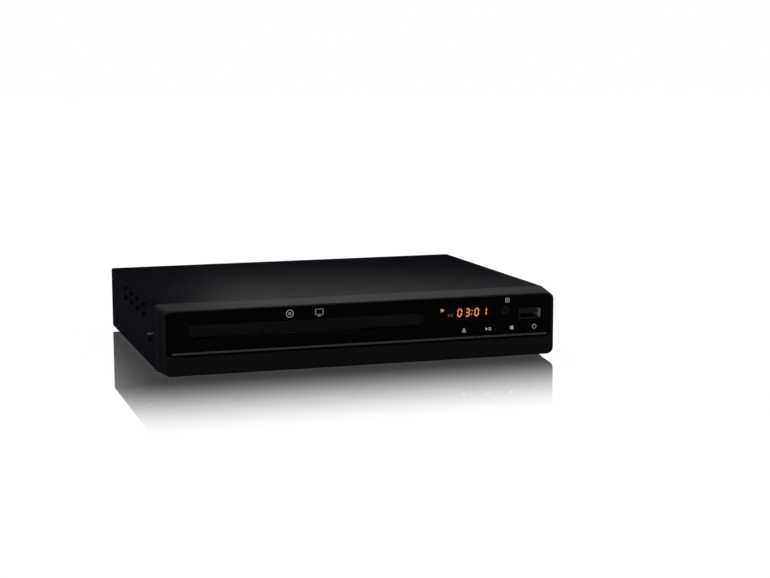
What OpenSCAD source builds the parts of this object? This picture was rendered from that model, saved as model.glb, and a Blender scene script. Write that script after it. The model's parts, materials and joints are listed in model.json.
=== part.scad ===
// Compact disc player with a motor-driven tray, as an assembly of its separate pieces.
// X runs along the width, Y from the front to the back and Z up.
// The origin is on the surface that the player stands on, under the middle of its box.
// The places below are counted from the middle of the bezel's front face, and from_front() moves them.

/* [Case] */
// Width to the left of the tray's cap
tray_side = 13.95; // [13.5:0.05:30]
// Depth of the room behind the loader, for the power board and the sockets
rear_room = 24; // [22:0.5:50]
// Height of the case without its feet
case_h = 37.2; // [36:0.2:44]
// Thickness of the sheet steel
sheet_t = 0.8; // [0.6:0.1:0.8]
// Radius of the cover's folded edges
fold_r = 1.2; // [0.9:0.1:2]
// Height of the feet below the base
foot_h = 1.8; // [1:0.2:6]
// Diameter of the feet
foot_d = 12; // [8:0.5:16]
// Width of the vent louvres in the cover's sides
louvre_w = 3.2; // [2.6:0.2:4]
// Distance between neighbouring louvres along the side
vent_pitch = 22.2; // [16:0.2:24]
// Rows of louvres on each side of the cover
vent_rows = 2; // [1:1:2]

/* [Bezel] */
// Depth of the moulded front bezel
bezel_d = 18.5; // [17:0.5:20]
// How much narrower the front face is than the cover, on each side
bezel_taper = 0.75; // [0.3:0.05:1.5]
// How far the bezel's top slopes down to the front
bezel_drop = 1.2; // [0.6:0.1:1.6]
// Corner radius of the front face
bezel_r = 4; // [3.5:0.5:6]
// Gap between the bezel and the cover
seam_gap = 0.5; // [0.3:0.1:1]
// Height of the satin band below the gloss fascia
band_h = 10.3; // [9:0.1:10.5]
// Thickness of the gloss fascia
fascia_t = 2; // [1.5:0.1:2.2]
// Width of the bezel's rim at each side of the fascia
fascia_rim = 1.5; // [1:0.1:2]

/* [Keys and sockets at the front] */
// Height of the bar and its keys
bar_h = 1.6; // [1.2:0.1:1.8]
// How far the bar and the keys stand proud
bar_out = 1; // [0.5:0.1:2]
// Distance between neighbouring keys
key_pitch = 14.3; // [12:0.1:14.6]
// How far a key travels
key_travel = 0.6; // [0.3:0.1:0.8]
// Width between the tray's cap and the display lens
lens_gap = 7.8; // [6:0.1:20]
// Width of the display lens
lens_w = 35; // [30:0.5:50]
// Height of the display lens
lens_h = 11.4; // [10.8:0.2:12]
// Width between the display lens and the middle of the remote sensor
sensor_gap = 5.2; // [4:0.1:12]
// Width between the middle of the remote sensor and the front port
port_gap = 8.7; // [5:0.1:16]
// Width between the front port and the case's side
port_side = 8.75; // [6.5:0.05:20]
// Width of the front port's metal shell
port_w = 13.1; // [12.5:0.1:14]
// Height of the front port's metal shell
port_h = 5.7; // [5.2:0.1:6.5]
// Diameter of the remote sensor's window
sensor_d = 3.8; // [3:0.2:6]

/* [Tray] */
// Diameter of the disc that the tray holds
disc_d = 120; // [120:0.5:130]
// How far the tray's cap runs past the disc, on each side
cap_land = 7; // [6:0.1:12]
// Height of the cap
cap_h = 6.6; // [6.2:0.1:7.2]
// Gap round the cap in the fascia
cap_gap = 0.9; // [0.7:0.1:1.1]
// How far the tray runs out
tray_travel = 130; // [120:1:150]
// Length of the tray that stays in the loader when it is out
tray_hold = 20; // [16:1:30]
// Thickness of the tray's floor
tray_floor_t = 1.6; // [1.2:0.1:1.7]
// Width of the slot behind the turntable
slot_w = 40; // [36:1:44]

/* [Loader] */
// How far the lifting frame's front end drops
lift_drop = 6; // [4:0.25:6.5]
// How far the cam slider runs
cam_run = 14; // [12:1:16]
// Diameter of the turntable
turntable_d = 30; // [26:1:32]
// How far the pickup runs along its rods
sled_run = 34; // [26:1:40]
// Diameter of the pickup's guide rods
rod_d = 2.6; // [2:0.1:2.6]
// Focus movement of the lens, each way
focus_run = 0.6; // [0.3:0.1:0.6]

/* [Sockets at the back] */
// Distance between neighbouring phono sockets
jack_pitch = 11.6; // [10.4:0.1:13]
// How far the phono sockets stand out
jack_out = 8; // [6:0.5:10]
// Outside diameter of a phono socket
jack_d = 8.3; // [8:0.1:8.6]
// Diameter of the mains inlet's pins
pin_d = 2.4; // [2:0.1:2.6]
// Distance between the mains inlet's pins
pin_pitch = 8.6; // [8:0.1:9]

/* [Hidden] */
$fn = 48;

cut = 0.1;          // how far a cutting shape runs past a face
fit = 0.05;         // radial clearance of a shaft in its bore
snug = 0.1;         // clearance between fixed pieces that fit together
tooth_m = 0.8;      // module of all the gear teeth
wall_gap = 1.4;     // the bezel's front wall behind the fascia

// Tray, from its front to its rear
cap_w = disc_d + 2 * cap_land;
tray_y0 = fascia_t + 1;
well_r = disc_d / 2 + 0.4;
front_land = 5.1;
disc_y = tray_y0 + front_land + well_r;
tray_y1 = tray_hold + tray_travel;

// Pickup and lifting frame, behind the disc's middle
lens_y = disc_y + 24;
sled_front = 6.5;
sled_back = 11;
pivot_y = lens_y + sled_back + sled_run + 8.5;

// The case wraps the tray, the panel beside it and the room behind it
frame_y1 = max(pivot_y + 10, tray_y1 + 6);
case_d = frame_y1 + rear_room;
panel_w = lens_gap + lens_w + sensor_gap + port_gap + port_w + port_side;
case_w = tray_side + cap_w + panel_w;
tray_x = -case_w / 2 + tray_side + cap_w / 2;
face_y = -(case_d + jack_out - bar_out) / 2;

// Levels of the case
base_z = foot_h;
floor_z = base_z + sheet_t;
top_z = base_z + case_h;
roof_z = top_z - sheet_t;
inner_x = case_w / 2 - sheet_t;

// Bezel and fascia
bezel_z = base_z + 0.4;
front_w = case_w - 2 * bezel_taper;
front_top = top_z - bezel_drop;
edge_cut = 0.5;
rim_top = 0.6;
recess_w = front_w - 2 * fascia_rim;
recess_z0 = bezel_z + band_h;
recess_z1 = front_top - rim_top;
recess_r = bezel_r - 1;
wall_y = fascia_t + wall_gap;
cavity_x = inner_x - 2;
cavity_z0 = bezel_z + 2.2;
cavity_z1 = front_top - 1.8;
tongue_y = bezel_d + 6.5;
cover_y = bezel_d + seam_gap;
flange_y = tongue_y + 0.6;
flange_x = inner_x - 0.15;

// Bar and keys
bar_z = recess_z0 + 0.9;
bar_top = bar_z + bar_h;
bar_inset = 4.5;
bar_half = front_w / 2 - bar_inset;
bar_gap = 0.15;
key_n = 4;
keys_x = bar_half - (key_n - 0.5) * key_pitch;
key_mid_z = bar_z + bar_h / 2;
key_end_y = 6.6;
stem_gap = 0.35;
board_y = 12;
board_t = 1.6;
switch_y = 8.5;

// Windows in the front
port_x = case_w / 2 - port_side - port_w / 2;
sensor_x = port_x - port_w / 2 - port_gap;
lens_x = sensor_x - sensor_gap - lens_w / 2;
lens_z = front_top - 9.3;
sensor_z = lens_z + 0.1;
port_z = lens_z - 2.1;
window_gap = 0.1;

// Tray
tray_z = base_z + 23.2;
cap_z = tray_z + 1.3;
rim_x = cap_w / 2 - 2;
rim_z0 = tray_z - 3.1;
rim_z1 = tray_z + 3.2;
mouth_w = cap_w + 2 * cap_gap + 0.8;
gap_below = 0.55 * cap_gap;
gap_above = 0.45 * cap_gap;
mouth_z0 = rim_z0 - gap_below;
mouth_z1 = cap_z + cap_h / 2 + gap_above;
mouth_h = mouth_z1 - mouth_z0;
mouth_z = (mouth_z0 + mouth_z1) / 2;
rail_x = rim_x + 1.4;
well_z = tray_z + 0.2;
plate_z = well_z - tray_floor_t;
seat_z = well_z + 1;

// Loader frame
frame_z = base_z + 6.2;
frame_t = 1.6;
frame_top = frame_z + frame_t;
wall_x = rail_x + 0.4;
wall_t = 2.2;
frame_y0 = wall_y + 1.6;
wall_top = tray_z + 6;
lug_x = wall_x + wall_t + 3.4;
lug_ys = [tongue_y + 5, frame_y1 - 6];

// Gear train: pitch radii are half the module times the teeth
function pitch_r(teeth) = tooth_m * teeth / 2;
drive_teeth = 30;
low_teeth = 32;
small_teeth = 16;
drive_r = pitch_r(drive_teeth);
low_r = pitch_r(low_teeth);
small_r = pitch_r(small_teeth);
rack_x = tray_x - rim_x + 5;
drive_x = rack_x + drive_r;
drive_y = wall_y + 14.6;
idler_x = drive_x + low_r + small_r;
pulley_r = 12;
motor_r = 4;
belt_span = 33.8;
motor_x = idler_x + belt_span;
low_z = frame_top + 0.6;
gear_t = 3;
belt_z = low_z + gear_t + 0.4;
pulley_t = 3;
axle_d = 3;
rack_t = 1.3;

// Lifting frame and the deck that it carries
pivot_z = tray_z - 12.9;
pivot_d = 3;
lift_z = pivot_z - 1.2;
lift_t = 2.4;
lift_x0 = tray_x - 33;
lift_x1 = tray_x + 49;
cam_y = drive_y + 18;
lift_y0 = cam_y + 5;
cam_t = 2;
pin_y = cam_y + cam_t / 2;
lift_arm = pivot_y - pin_y;
lift_angle = asin(lift_drop / lift_arm);
cam_pins = [tray_x - 20, tray_x + 36];
cam_pin_d = 2.4;
deck_z = lift_z + lift_t + 1.6;
deck_t = 1.2;
deck_top = deck_z + deck_t;
damper_xs = [lift_x0 + 4, lift_x1 - 4];
damper_ys = [lift_y0 + 11, pivot_y - 10];

// Pickup
rod_x = 20;
rod_z = deck_top + 1.6;
post_ys = [disc_y + 14, pivot_y - 8];
sled_z0 = deck_top + 0.5;
sled_z1 = sled_z0 + 4.6;
sled_rack_x = tray_x + rod_x + 4;
sled_teeth = 20;
pinion_teeth = 8;
sled_gear_r = pitch_r(sled_teeth);
pinion_r = pitch_r(pinion_teeth);
sled_gear_x = sled_rack_x + sled_gear_r;
sled_gear_y = lens_y + 11.5;
pinion_y = sled_gear_y + sled_gear_r + pinion_r;
sled_gear_z = rod_z + rod_d / 2 + 0.6;
sled_gear_t = 1.6;

// Boards and rear sockets
stand_z = floor_z + 5.4;
main_x0 = tray_x + lug_x + 7.9;
main_x1 = inner_x - 2.45;
main_d = 92.6;
panel_y = case_d - 1.4;
main_y1 = panel_y - 2;
main_y0 = main_y1 - main_d;
power_w = 100;
power_x0 = -inner_x + 8.45;
power_x1 = power_x0 + power_w;
power_y0 = frame_y1 + 2;
board_top = stand_z + board_t;
hdmi_x = main_x1 - 7.8;
hdmi_w = 15;
hdmi_h = 5.6;
hdmi_z = board_top + hdmi_h / 2;
jack_n = 4;
jack_x = hdmi_x - 13.9 - (jack_n - 1) * jack_pitch;
jack_z = board_top + 6.4;
inlet_x = power_x0 + 12;
inlet_z = board_top + 6;
inlet_w = 20;
inlet_h = 11;

// Colours
black_steel = [0.10, 0.10, 0.11];
satin_black = [0.08, 0.08, 0.09];
gloss_black = [0.02, 0.02, 0.02];
smoke = [0.15, 0.04, 0.03];
plated = [0.75, 0.76, 0.78];
zinc = [0.62, 0.64, 0.66];
white_plastic = [0.88, 0.88, 0.85];
grey_plastic = [0.35, 0.36, 0.38];
rubber_black = [0.05, 0.05, 0.05];
board_green = [0.10, 0.35, 0.18];
board_tan = [0.72, 0.56, 0.32];
copper = [0.72, 0.42, 0.20];

// ---- Shapes that several pieces share ----

module from_front() translate([0, face_y, 0]) children();

module block(x0, x1, y0, y1, z0, z1) translate([x0, y0, z0]) cube([x1 - x0, y1 - y0, z1 - z0]);

// A block between two distances from a middle, on one side of it
module side_block(mid, side, x0, x1, y0, y1, z0, z1)
    block(mid + min(side * x0, side * x1), mid + max(side * x0, side * x1), y0, y1, z0, z1);

// A block round a point of the front or the back
module face_block(x, z, w, h, y0, y1) block(x - w / 2, x + w / 2, y0, y1, z - h / 2, z + h / 2);

module post(x, y, z0, z1, d) translate([x, y, z0]) cylinder(d = d, h = z1 - z0);

module rod_along_x(x0, x1, y, z, d) translate([x0, y, z]) rotate([0, 90, 0]) cylinder(d = d, h = x1 - x0);

module rod_along_y(x, y0, y1, z, d) translate([x, y0, z]) rotate([-90, 0, 0]) cylinder(d = d, h = y1 - y0);

// Runs an outline drawn in X and Z along Y
module along_y(y0, y1) translate([0, y1, 0]) rotate([90, 0, 0]) linear_extrude(height = y1 - y0) children();

// Runs an outline drawn in Y and Z along X
module along_x(x0, x1) translate([x0, 0, 0]) rotate([90, 0, 90]) linear_extrude(height = x1 - x0) children();

module square_from(x0, x1, z0, z1) translate([x0, z0]) square([x1 - x0, z1 - z0]);

module round_rect(x0, x1, z0, z1, r) {
    translate([x0 + r, z0]) square([x1 - x0 - 2 * r, z1 - z0]);
    translate([x0, z0 + r]) square([x1 - x0, z1 - z0 - 2 * r]);
    for (x = [x0 + r, x1 - r], z = [z0 + r, z1 - r])
        translate([x, z]) circle(r = r);
}

module round_plate(x, z, w, h, r) round_rect(x - w / 2, x + w / 2, z - h / 2, z + h / 2, r);

// A bar with fully round ends, from its middle
module racetrack(x, z, w, h) {
    translate([x - w / 2 + h / 2, z - h / 2]) square([w - h, h]);
    for (side = [-1, 1])
        translate([x + side * (w - h) / 2, z]) circle(d = h);
}

function pitch_deg(teeth) = 360 / teeth;

// A tooth's depth and height from the pitch line, and half its width at root and tip as a share of the pitch
tooth_deep = 1.05 * tooth_m;
tooth_high = 0.75 * tooth_m;
root_half = 0.27;
tip_half = 0.1;

// The four corners of one tooth, turned to the angle a
function tooth(r, a, p) = [
    for (c = [[r - tooth_deep, -root_half], [r + tooth_high, -tip_half],
              [r + tooth_high, tip_half], [r - tooth_deep, root_half]])
        [c[0] * cos(a + c[1] * p), c[0] * sin(a + c[1] * p)]];

module gear(teeth, phase, h) {
    p = pitch_deg(teeth);
    linear_extrude(height = h)
        polygon([for (i = [0:teeth - 1]) each tooth(pitch_r(teeth), phase + i * p, p)]);
}

// A straight rack, its pitch line on X = 0, a gap at Y = 0 and its teeth towards +X
module rack(y0, y1, back, h) {
    p = PI * tooth_m;
    first = ceil(y0 / p);
    last = floor(y1 / p) - 1;
    linear_extrude(height = h) {
        translate([-back, y0]) square([back - tooth_deep, y1 - y0]);
        for (i = [first:last])
            translate([0, (i + 0.5) * p])
                polygon([[-tooth_deep - cut, -root_half * p], [-tooth_deep, -root_half * p],
                    [tooth_high, -tip_half * p], [tooth_high, tip_half * p],
                    [-tooth_deep, root_half * p], [-tooth_deep - cut, root_half * p]]);
    }
}

// A pan-head screw whose head stands on Z = 0, with a cross recess
module screw(shank_d, shank_l) {
    head_d = 5.2;
    head_h = 1.5;
    cross_l = 2.8;
    cross_w = 0.7;
    cross_deep = 0.9;
    difference() {
        union() {
            cylinder(d = head_d, h = head_h);
            translate([0, 0, -shank_l]) cylinder(d = shank_d, h = shank_l);
        }
        for (a = [0, 90])
            rotate([0, 0, a]) translate([-cross_l / 2, -cross_w / 2, head_h - cross_deep])
                cube([cross_l, cross_w, cross_deep + cut]);
    }
}

screw_d = 2.6;
screw_hole = 2.7;
free_hole = 3.4;
side_screw_y = 38.5;
side_screw_z = bezel_z + 15.6;
panel_screw_xs = [power_x0 + 54, main_x0 - 20];
panel_screw_z = roof_z - 5;

// ---- Case ----

vent_y = 56;
vent_z = bezel_z + 26.1;
vent_row = 5.6;
vent_columns = 4;
louvre_l = 7;
louvre_out = 1.3;
louvre_t = 0.35;
louvre_tip = 0.3;
hollow_tip = 0.1;
hollow_short = 1;
louvre_x = case_w / 2 + louvre_out - louvre_w / 2;

// A louvre is a half cone that is pressed out of the sheet. It is open to the front and runs out to the rear.
module louvres(y, r, tip, l) for (side = [-1, 1], i = [0:vent_columns - 1], k = [0:vent_rows - 1])
    translate([side * louvre_x, vent_y + i * vent_pitch + y, vent_z + k * vent_row])
        rotate([-90, 0, 0]) cylinder(r1 = r, r2 = tip, h = l);

module top_cover() color(black_steel) from_front() difference() {
    union() {
        along_y(cover_y, case_d) round_rect(-case_w / 2, case_w / 2, base_z, top_z, fold_r);
        louvres(0, louvre_w / 2, louvre_tip, louvre_l);
    }
    along_y(cover_y - cut, case_d + cut)
        round_rect(-inner_x, inner_x, base_z - 2 * fold_r, roof_z, fold_r - sheet_t + cut);
    louvres(-cut, louvre_w / 2 - louvre_t, hollow_tip, louvre_l - hollow_short);
    rod_along_x(-case_w / 2 - cut, case_w / 2 + cut, side_screw_y, side_screw_z, free_hole);
}

// Bosses stand this far in from a board's edges, and clear of the sockets and the mains inlet
boss_in = 4;
socket_room = 16;
inlet_room = 28;
boss_d = 6;
board_bosses = concat(
    [for (x = [main_x0 + boss_in, main_x1 - boss_in], y = [main_y0 + boss_in, main_y1 - socket_room]) [x, y]],
    [for (x = [power_x0 + inlet_room, power_x1 - boss_in]) [x, power_y0 + boss_in]]);
frame_bosses = [for (side = [-1, 1], y = lug_ys) [tray_x + side * lug_x, y]];
slot_across = 3;
floor_slot_n = 6;
floor_slot_pitch = 8;
floor_slot_y = main_y0 + 26;
floor_slot_l = 30;
panel_slot_n = 9;
panel_slot_pitch = 9;
panel_slot_x = power_x0 + 44;
panel_slot_z = board_top + 4;
panel_slot_h = 12;
panel_r = 0.5;
tab_half = 6;
tab_d = 8;
tab_drop = 1.2;
hdmi_gap = 0.3;
jack_shoulder_d = jack_d + 1;
foot_inset = 18;
foot_places = [for (side = [-1, 1], y = [cover_y + foot_inset, case_d - foot_inset])
    [side * (case_w / 2 - foot_inset), y]];
stem_d = 4;
stem_rise = 0.8;
flange_drop = 4;
ear_half = 5;

module base_pan() color(zinc) from_front() difference() {
    union() {
        block(-flange_x, flange_x, cover_y, panel_y, base_z, floor_z);
        for (side = [-1, 1]) {
            side_block(0, side, flange_x - sheet_t, flange_x, flange_y, panel_y,
                base_z, side_screw_z - flange_drop);
            side_block(0, side, flange_x - sheet_t, flange_x,
                side_screw_y - ear_half, side_screw_y + ear_half, base_z, side_screw_z + ear_half);
        }
        for (b = board_bosses)
            post(b[0], b[1], base_z, stand_z, boss_d);
        for (b = frame_bosses)
            post(b[0], b[1], base_z, frame_z, boss_d);
    }
    for (b = concat(board_bosses, frame_bosses))
        post(b[0], b[1], base_z - cut, frame_z + cut, screw_hole);
    for (f = foot_places)
        post(f[0], f[1], base_z - cut, floor_z + cut, stem_d + 2 * snug);
    rod_along_x(-case_w / 2, case_w / 2, side_screw_y, side_screw_z, screw_hole);
    for (x = [for (i = [1:floor_slot_n]) main_x0 + i * floor_slot_pitch])
        block(x, x + slot_across, floor_slot_y, floor_slot_y + floor_slot_l, base_z - cut, floor_z + cut);
}

module rear_panel() color(black_steel) from_front() difference() {
    union() {
        along_y(panel_y, panel_y + sheet_t)
            round_rect(-inner_x + snug, inner_x - snug, base_z, roof_z - snug, panel_r);
        for (x = panel_screw_xs)
            block(x - tab_half, x + tab_half, panel_y - tab_d, panel_y,
                roof_z - tab_drop - sheet_t, roof_z - tab_drop);
    }
    for (i = [0:jack_n - 1])
        rod_along_y(jack_x + i * jack_pitch, panel_y - cut, case_d, jack_z, jack_shoulder_d + 2 * snug);
    face_block(hdmi_x, hdmi_z, hdmi_w + 2 * hdmi_gap, hdmi_h + 2 * hdmi_gap, panel_y - cut, case_d);
    face_block(inlet_x, inlet_z, inlet_w + 2 * snug, inlet_h + 2 * snug, panel_y - cut, case_d);
    for (x = panel_screw_xs)
        rod_along_y(x, panel_y - cut, case_d, panel_screw_z, screw_hole);
    for (x = [for (i = [0:panel_slot_n - 1]) panel_slot_x + i * panel_slot_pitch])
        block(x, x + slot_across, panel_y - cut, case_d, panel_slot_z, panel_slot_z + panel_slot_h);
}

module feet() color(rubber_black) from_front() for (f = foot_places) {
    post(f[0], f[1], 0, base_z, foot_d);
    post(f[0], f[1], base_z, floor_z + stem_rise, stem_d);
}

// ---- Front ----

module bezel_slab(y, w, z0, z1, r) along_y(y, y + 0.01) round_rect(-w / 2, w / 2, z0, z1, r, $fn = 32);

module bezel_hull() hull() {
    bezel_slab(0, front_w - 2 * edge_cut, bezel_z + edge_cut, front_top - edge_cut, bezel_r - edge_cut);
    bezel_slab(edge_cut, front_w, bezel_z, front_top, bezel_r);
    bezel_slab(bezel_d - 0.01, case_w, bezel_z, top_z, fold_r);
}

trim_x1 = keys_x - key_pitch / 2 - bar_gap;
peg_xs = [-bar_half + 12, -bar_half + 84, trim_x1 - 10.65];
peg_d = 1.8;
key_stem_w = 3;
key_stem_gap = 0.3;
key_gap = 0.4;
catch_half = 3.2;
catch_t = 1.1;
tongue_gap = 0.25;
tongue_r = 0.5;
lens_r = 1;
lens_ledge = 1;
lens_lip = 0.4;
sensor_room = 0.5;
port_room = 0.4;

module key_slots() for (i = [0:key_n - 1])
    block(key_x(i) - key_stem_w / 2 - key_stem_gap, key_x(i) + key_stem_w / 2 + key_stem_gap,
        fascia_t - cut, wall_y + cut, bar_z - key_stem_gap, bar_top + key_stem_gap);

function key_x(i) = keys_x + i * key_pitch;

module bezel() color(satin_black) from_front() difference() {
    union() {
        bezel_hull();
        along_y(bezel_d - cut, tongue_y)
            round_rect(-inner_x + tongue_gap, inner_x - tongue_gap,
                floor_z + snug, roof_z - 2 * snug, tongue_r);
    }
    along_y(wall_y, tongue_y + cut)
        square_from(-cavity_x, cavity_x, cavity_z0, cavity_z1);
    along_y(-cut, fascia_t)
        round_rect(-recess_w / 2, recess_w / 2, recess_z0, recess_z1, recess_r);
    along_y(-cut, wall_y + cut) racetrack(tray_x, mouth_z, mouth_w, mouth_h);
    face_block(lens_x, lens_z, lens_w - 2 * lens_ledge, lens_h - 2 * lens_lip, 0, wall_y + cut);
    rod_along_y(sensor_x, 0, wall_y + cut, sensor_z, sensor_d + 2 * sensor_room);
    face_block(port_x, port_z, port_w + 2 * port_room, port_h + 2 * port_room, 0, wall_y + cut);
    key_slots();
    for (x = peg_xs)
        rod_along_y(x, fascia_t - cut, wall_y + cut, key_mid_z, peg_d + 2 * fit);
}

module fascia() color(gloss_black) from_front() difference() {
    along_y(snug, fascia_t)
        round_rect(-recess_w / 2 + snug, recess_w / 2 - snug,
            recess_z0 + snug, recess_z1 - snug, recess_r - snug);
    block(-bar_half - snug, bar_half + snug, 0, fascia_t + cut, recess_z0, bar_top + snug);
    along_y(0, fascia_t + cut) racetrack(tray_x, mouth_z, mouth_w, mouth_h);
    along_y(0, fascia_t + cut)
        round_plate(lens_x, lens_z, lens_w + 2 * window_gap, lens_h + 2 * window_gap, lens_r);
    rod_along_y(sensor_x, 0, fascia_t + cut, sensor_z, sensor_d + 2 * window_gap);
    face_block(port_x, port_z, port_w + 2 * port_room, port_h + 2 * port_room, 0, fascia_t + cut);
}

module display_lens() color(smoke) from_front() along_y(snug, fascia_t)
    round_plate(lens_x, lens_z, lens_w, lens_h, lens_r - window_gap);

// The display module stands behind the lens, clear of the window's edges
module_w = lens_w - 2.8;
module_h = lens_h - 1.6;
module_gap = 0.2;

module display_module() color(grey_plastic) from_front()
    face_block(lens_x, lens_z, module_w, module_h, fascia_t + module_gap, board_y);

ir_w = 6;
ir_h = 6.4;
ir_y = 6.5;
ir_dome_y = 0.6;

module ir_receiver() color(gloss_black) from_front() {
    face_block(sensor_x, sensor_z, ir_w, ir_h, ir_y, board_y);
    rod_along_y(sensor_x, ir_dome_y, ir_y, sensor_z, sensor_d);
}

// The port's shell, open to the front, and the blade that carries its contacts
shell_t = 0.3;
shell_y0 = 0.4;
shell_y1 = board_y - 1.5;
blade_y0 = 1.4;
blade_t = 1.8;
blade_rise = 1;
blade_in = 1;

module usb_socket() color(plated) from_front() {
    difference() {
        face_block(port_x, port_z, port_w, port_h, shell_y0, board_y);
        face_block(port_x, port_z, port_w - 2 * shell_t, port_h - 2 * shell_t, 0, shell_y1);
    }
    face_block(port_x, port_z + blade_rise, port_w - 2 * blade_in, blade_t, blade_y0, shell_y1 + cut);
}

front_x0 = lens_x - lens_w / 2 + 0.1;
front_x1 = cavity_x - 1.5;
front_z0 = cavity_z0 + 0.6;
front_z1 = cavity_z1 - 1;
front_hole_xs = [front_x0 + 5, front_x1 - 3];
front_hole_z = front_z0 + 3.4;

module front_board() color(board_green) from_front() difference() {
    block(front_x0, front_x1, board_y, board_y + board_t, front_z0, front_z1);
    for (x = front_hole_xs)
        rod_along_y(x, board_y - cut, board_y + board_t + cut, front_hole_z, free_hole);
}

module key_trim() color(satin_black) from_front() {
    block(-bar_half, trim_x1, -bar_out, fascia_t, bar_z, bar_top);
    for (x = peg_xs)
        rod_along_y(x, fascia_t, wall_y - 2 * snug, key_mid_z, peg_d - 2 * snug);
}

// A key: its face, the stem that runs back to the switch, and the catch behind the bezel's wall
module key(i) {
    w = key_pitch - 2 * bar_gap;
    x = key_x(i);
    back_y = fascia_t - key_travel - key_gap;
    face_block(x, key_mid_z, w, bar_h, -bar_out, back_y);
    face_block(x, key_mid_z, key_stem_w, bar_h, back_y, key_end_y);
    face_block(x, key_mid_z, 2 * catch_half, bar_h, wall_y + snug, wall_y + snug + catch_t);
}

module key_eject() color(satin_black) from_front() key(0);
module key_play() color(satin_black) from_front() key(1);
module key_stop() color(satin_black) from_front() key(2);
module key_power() color(satin_black) from_front() key(3);

stem_r = 1.6;
stem_end_y = 10;
switch_w = 6;

module switch_stem(i) rod_along_y(key_x(i), key_end_y + stem_gap, stem_end_y, key_mid_z, 2 * stem_r);

module stem_eject() color(white_plastic) from_front() switch_stem(0);
module stem_play() color(white_plastic) from_front() switch_stem(1);
module stem_stop() color(white_plastic) from_front() switch_stem(2);
module stem_power() color(white_plastic) from_front() switch_stem(3);

module key_switches() color(gloss_black) from_front() for (i = [0:key_n - 1]) difference() {
    face_block(key_x(i), key_mid_z, switch_w, switch_w, switch_y, board_y);
    rod_along_y(key_x(i), switch_y - cut, stem_end_y + key_travel, key_mid_z, 2 * (stem_r + fit));
}

// ---- Fasteners ----

cover_screw_l = 5;
inner_screw_l = 6;

module cover_screws() color(zinc) from_front() {
    for (side = [-1, 1])
        translate([side * case_w / 2, side_screw_y, side_screw_z])
            rotate([0, side * 90, 0]) screw(screw_d, cover_screw_l);
    for (x = panel_screw_xs)
        translate([x, panel_y + sheet_t, panel_screw_z]) rotate([-90, 0, 0]) screw(screw_d, cover_screw_l);
}

module board_screws() color(zinc) from_front() for (b = board_bosses)
    translate([b[0], b[1], board_top]) screw(screw_d, inner_screw_l);

module loader_screws() color(zinc) from_front() for (b = frame_bosses)
    translate([b[0], b[1], frame_top]) screw(screw_d, inner_screw_l);

// ---- Loader ----

bay_gap = 4;
bay_x0 = lift_x0 - bay_gap;
bay_x1 = lift_x1 + bay_gap;
bay_y0 = cam_y - 0.3;
bay_y1 = pivot_y + 4;
cup_d = 28;
motor_d = 24.4;
motor_boss_d = 6.6;
motor_hole_d = 7;
cup_roof = 0.9;
cup_z = belt_z - 0.4 - cup_roof;

// The walls beside the tray, and the two ledges on each that hold the tray's rail
rail_gap = 0.3;
ledge_low = [-1.6, 0.3];
ledge_high = [2.8, 4.8];

module rails() for (side = [-1, 1]) {
    side_block(tray_x, side, wall_x, wall_x + wall_t, frame_y0, frame_y1, frame_z, wall_top);
    for (ledge = [ledge_low, ledge_high])
        side_block(tray_x, side, rim_x + rail_gap, wall_x + wall_t, frame_y0, frame_y1,
            rim_z0 + ledge[0], rim_z0 + ledge[1]);
}

// Ears for the pivot, and lugs for the screws
axle_seat_d = 7;
idler_seat_d = 6;
pivot_ear = 6;
pivot_ear_half = 4;
pivot_ear_top = pivot_z + 3.6;
lug_end = 3.6;
lug_half = 4;

module loader_frame() color(grey_plastic) from_front() difference() {
    union() {
        difference() {
            block(tray_x - wall_x - wall_t, tray_x + wall_x + wall_t, frame_y0, frame_y1, frame_z, frame_top);
            block(bay_x0, bay_x1, bay_y0, bay_y1, frame_z - cut, frame_top + cut);
            block(rack_x, 2 * tray_x - rack_x, bay_y0, lift_y0 - 0.6, frame_z - cut, frame_top + cut);
        }
        rails();
        post(motor_x, drive_y, frame_z, cup_z + cup_roof, cup_d);
        post(drive_x, drive_y, frame_z, low_z, axle_seat_d);
        post(drive_x, drive_y, frame_z, rim_z0 + rack_t + 2 * snug, axle_d);
        post(idler_x, drive_y, frame_z, low_z, idler_seat_d);
        post(idler_x, drive_y, frame_z, belt_z + pulley_t + 0.6, axle_d);
        for (x = [bay_x0 - pivot_ear, bay_x1])
            block(x, x + pivot_ear, pivot_y - pivot_ear_half, pivot_y + pivot_ear_half,
                frame_z, pivot_ear_top);
        for (side = [-1, 1], y = lug_ys)
            side_block(tray_x, side, 0, lug_x + lug_end, y - lug_half, y + lug_half, frame_z, frame_top);
    }
    post(motor_x, drive_y, frame_z - cut, cup_z, motor_d + 2 * snug);
    post(motor_x, drive_y, frame_z, cup_z + 2, motor_hole_d);
    rod_along_x(bay_x0 - pivot_ear - 1, bay_x1 + pivot_ear + 1, pivot_y, pivot_z, pivot_d + 2 * fit);
    block(bay_x0, bay_x1, lift_y0, bay_y1, frame_z - cut, frame_top + cut);
    for (b = frame_bosses)
        post(b[0], b[1], frame_z - cut, frame_top + cut, screw_hole + 0.3);
}

bridge_t = 1.2;
bridge_top = wall_top + bridge_t;
bridge_half = 11;
bridge_hole = 20.4;
bridge_ring = 7;

module clamp_bridge() color(zinc) from_front() difference() {
    union() {
        block(tray_x - wall_x - wall_t, tray_x + wall_x + wall_t, disc_y - bridge_half, disc_y + bridge_half,
            wall_top, bridge_top);
        post(tray_x, disc_y, wall_top, bridge_top, bridge_hole + 2 * bridge_ring);
    }
    post(tray_x, disc_y, wall_top - cut, bridge_top + cut, bridge_hole);
}

pad_z = seat_z + 1.5;
pad_t = 2.5;
pad_d = 28;
hub_play = 0.4;
flange_rise = 0.3;
flange_t = 1.4;
flange_d = bridge_hole + 10;
cone_hole_d = 16.4;
cone_hole_h = 1.5;
dish_d = 12;

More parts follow.
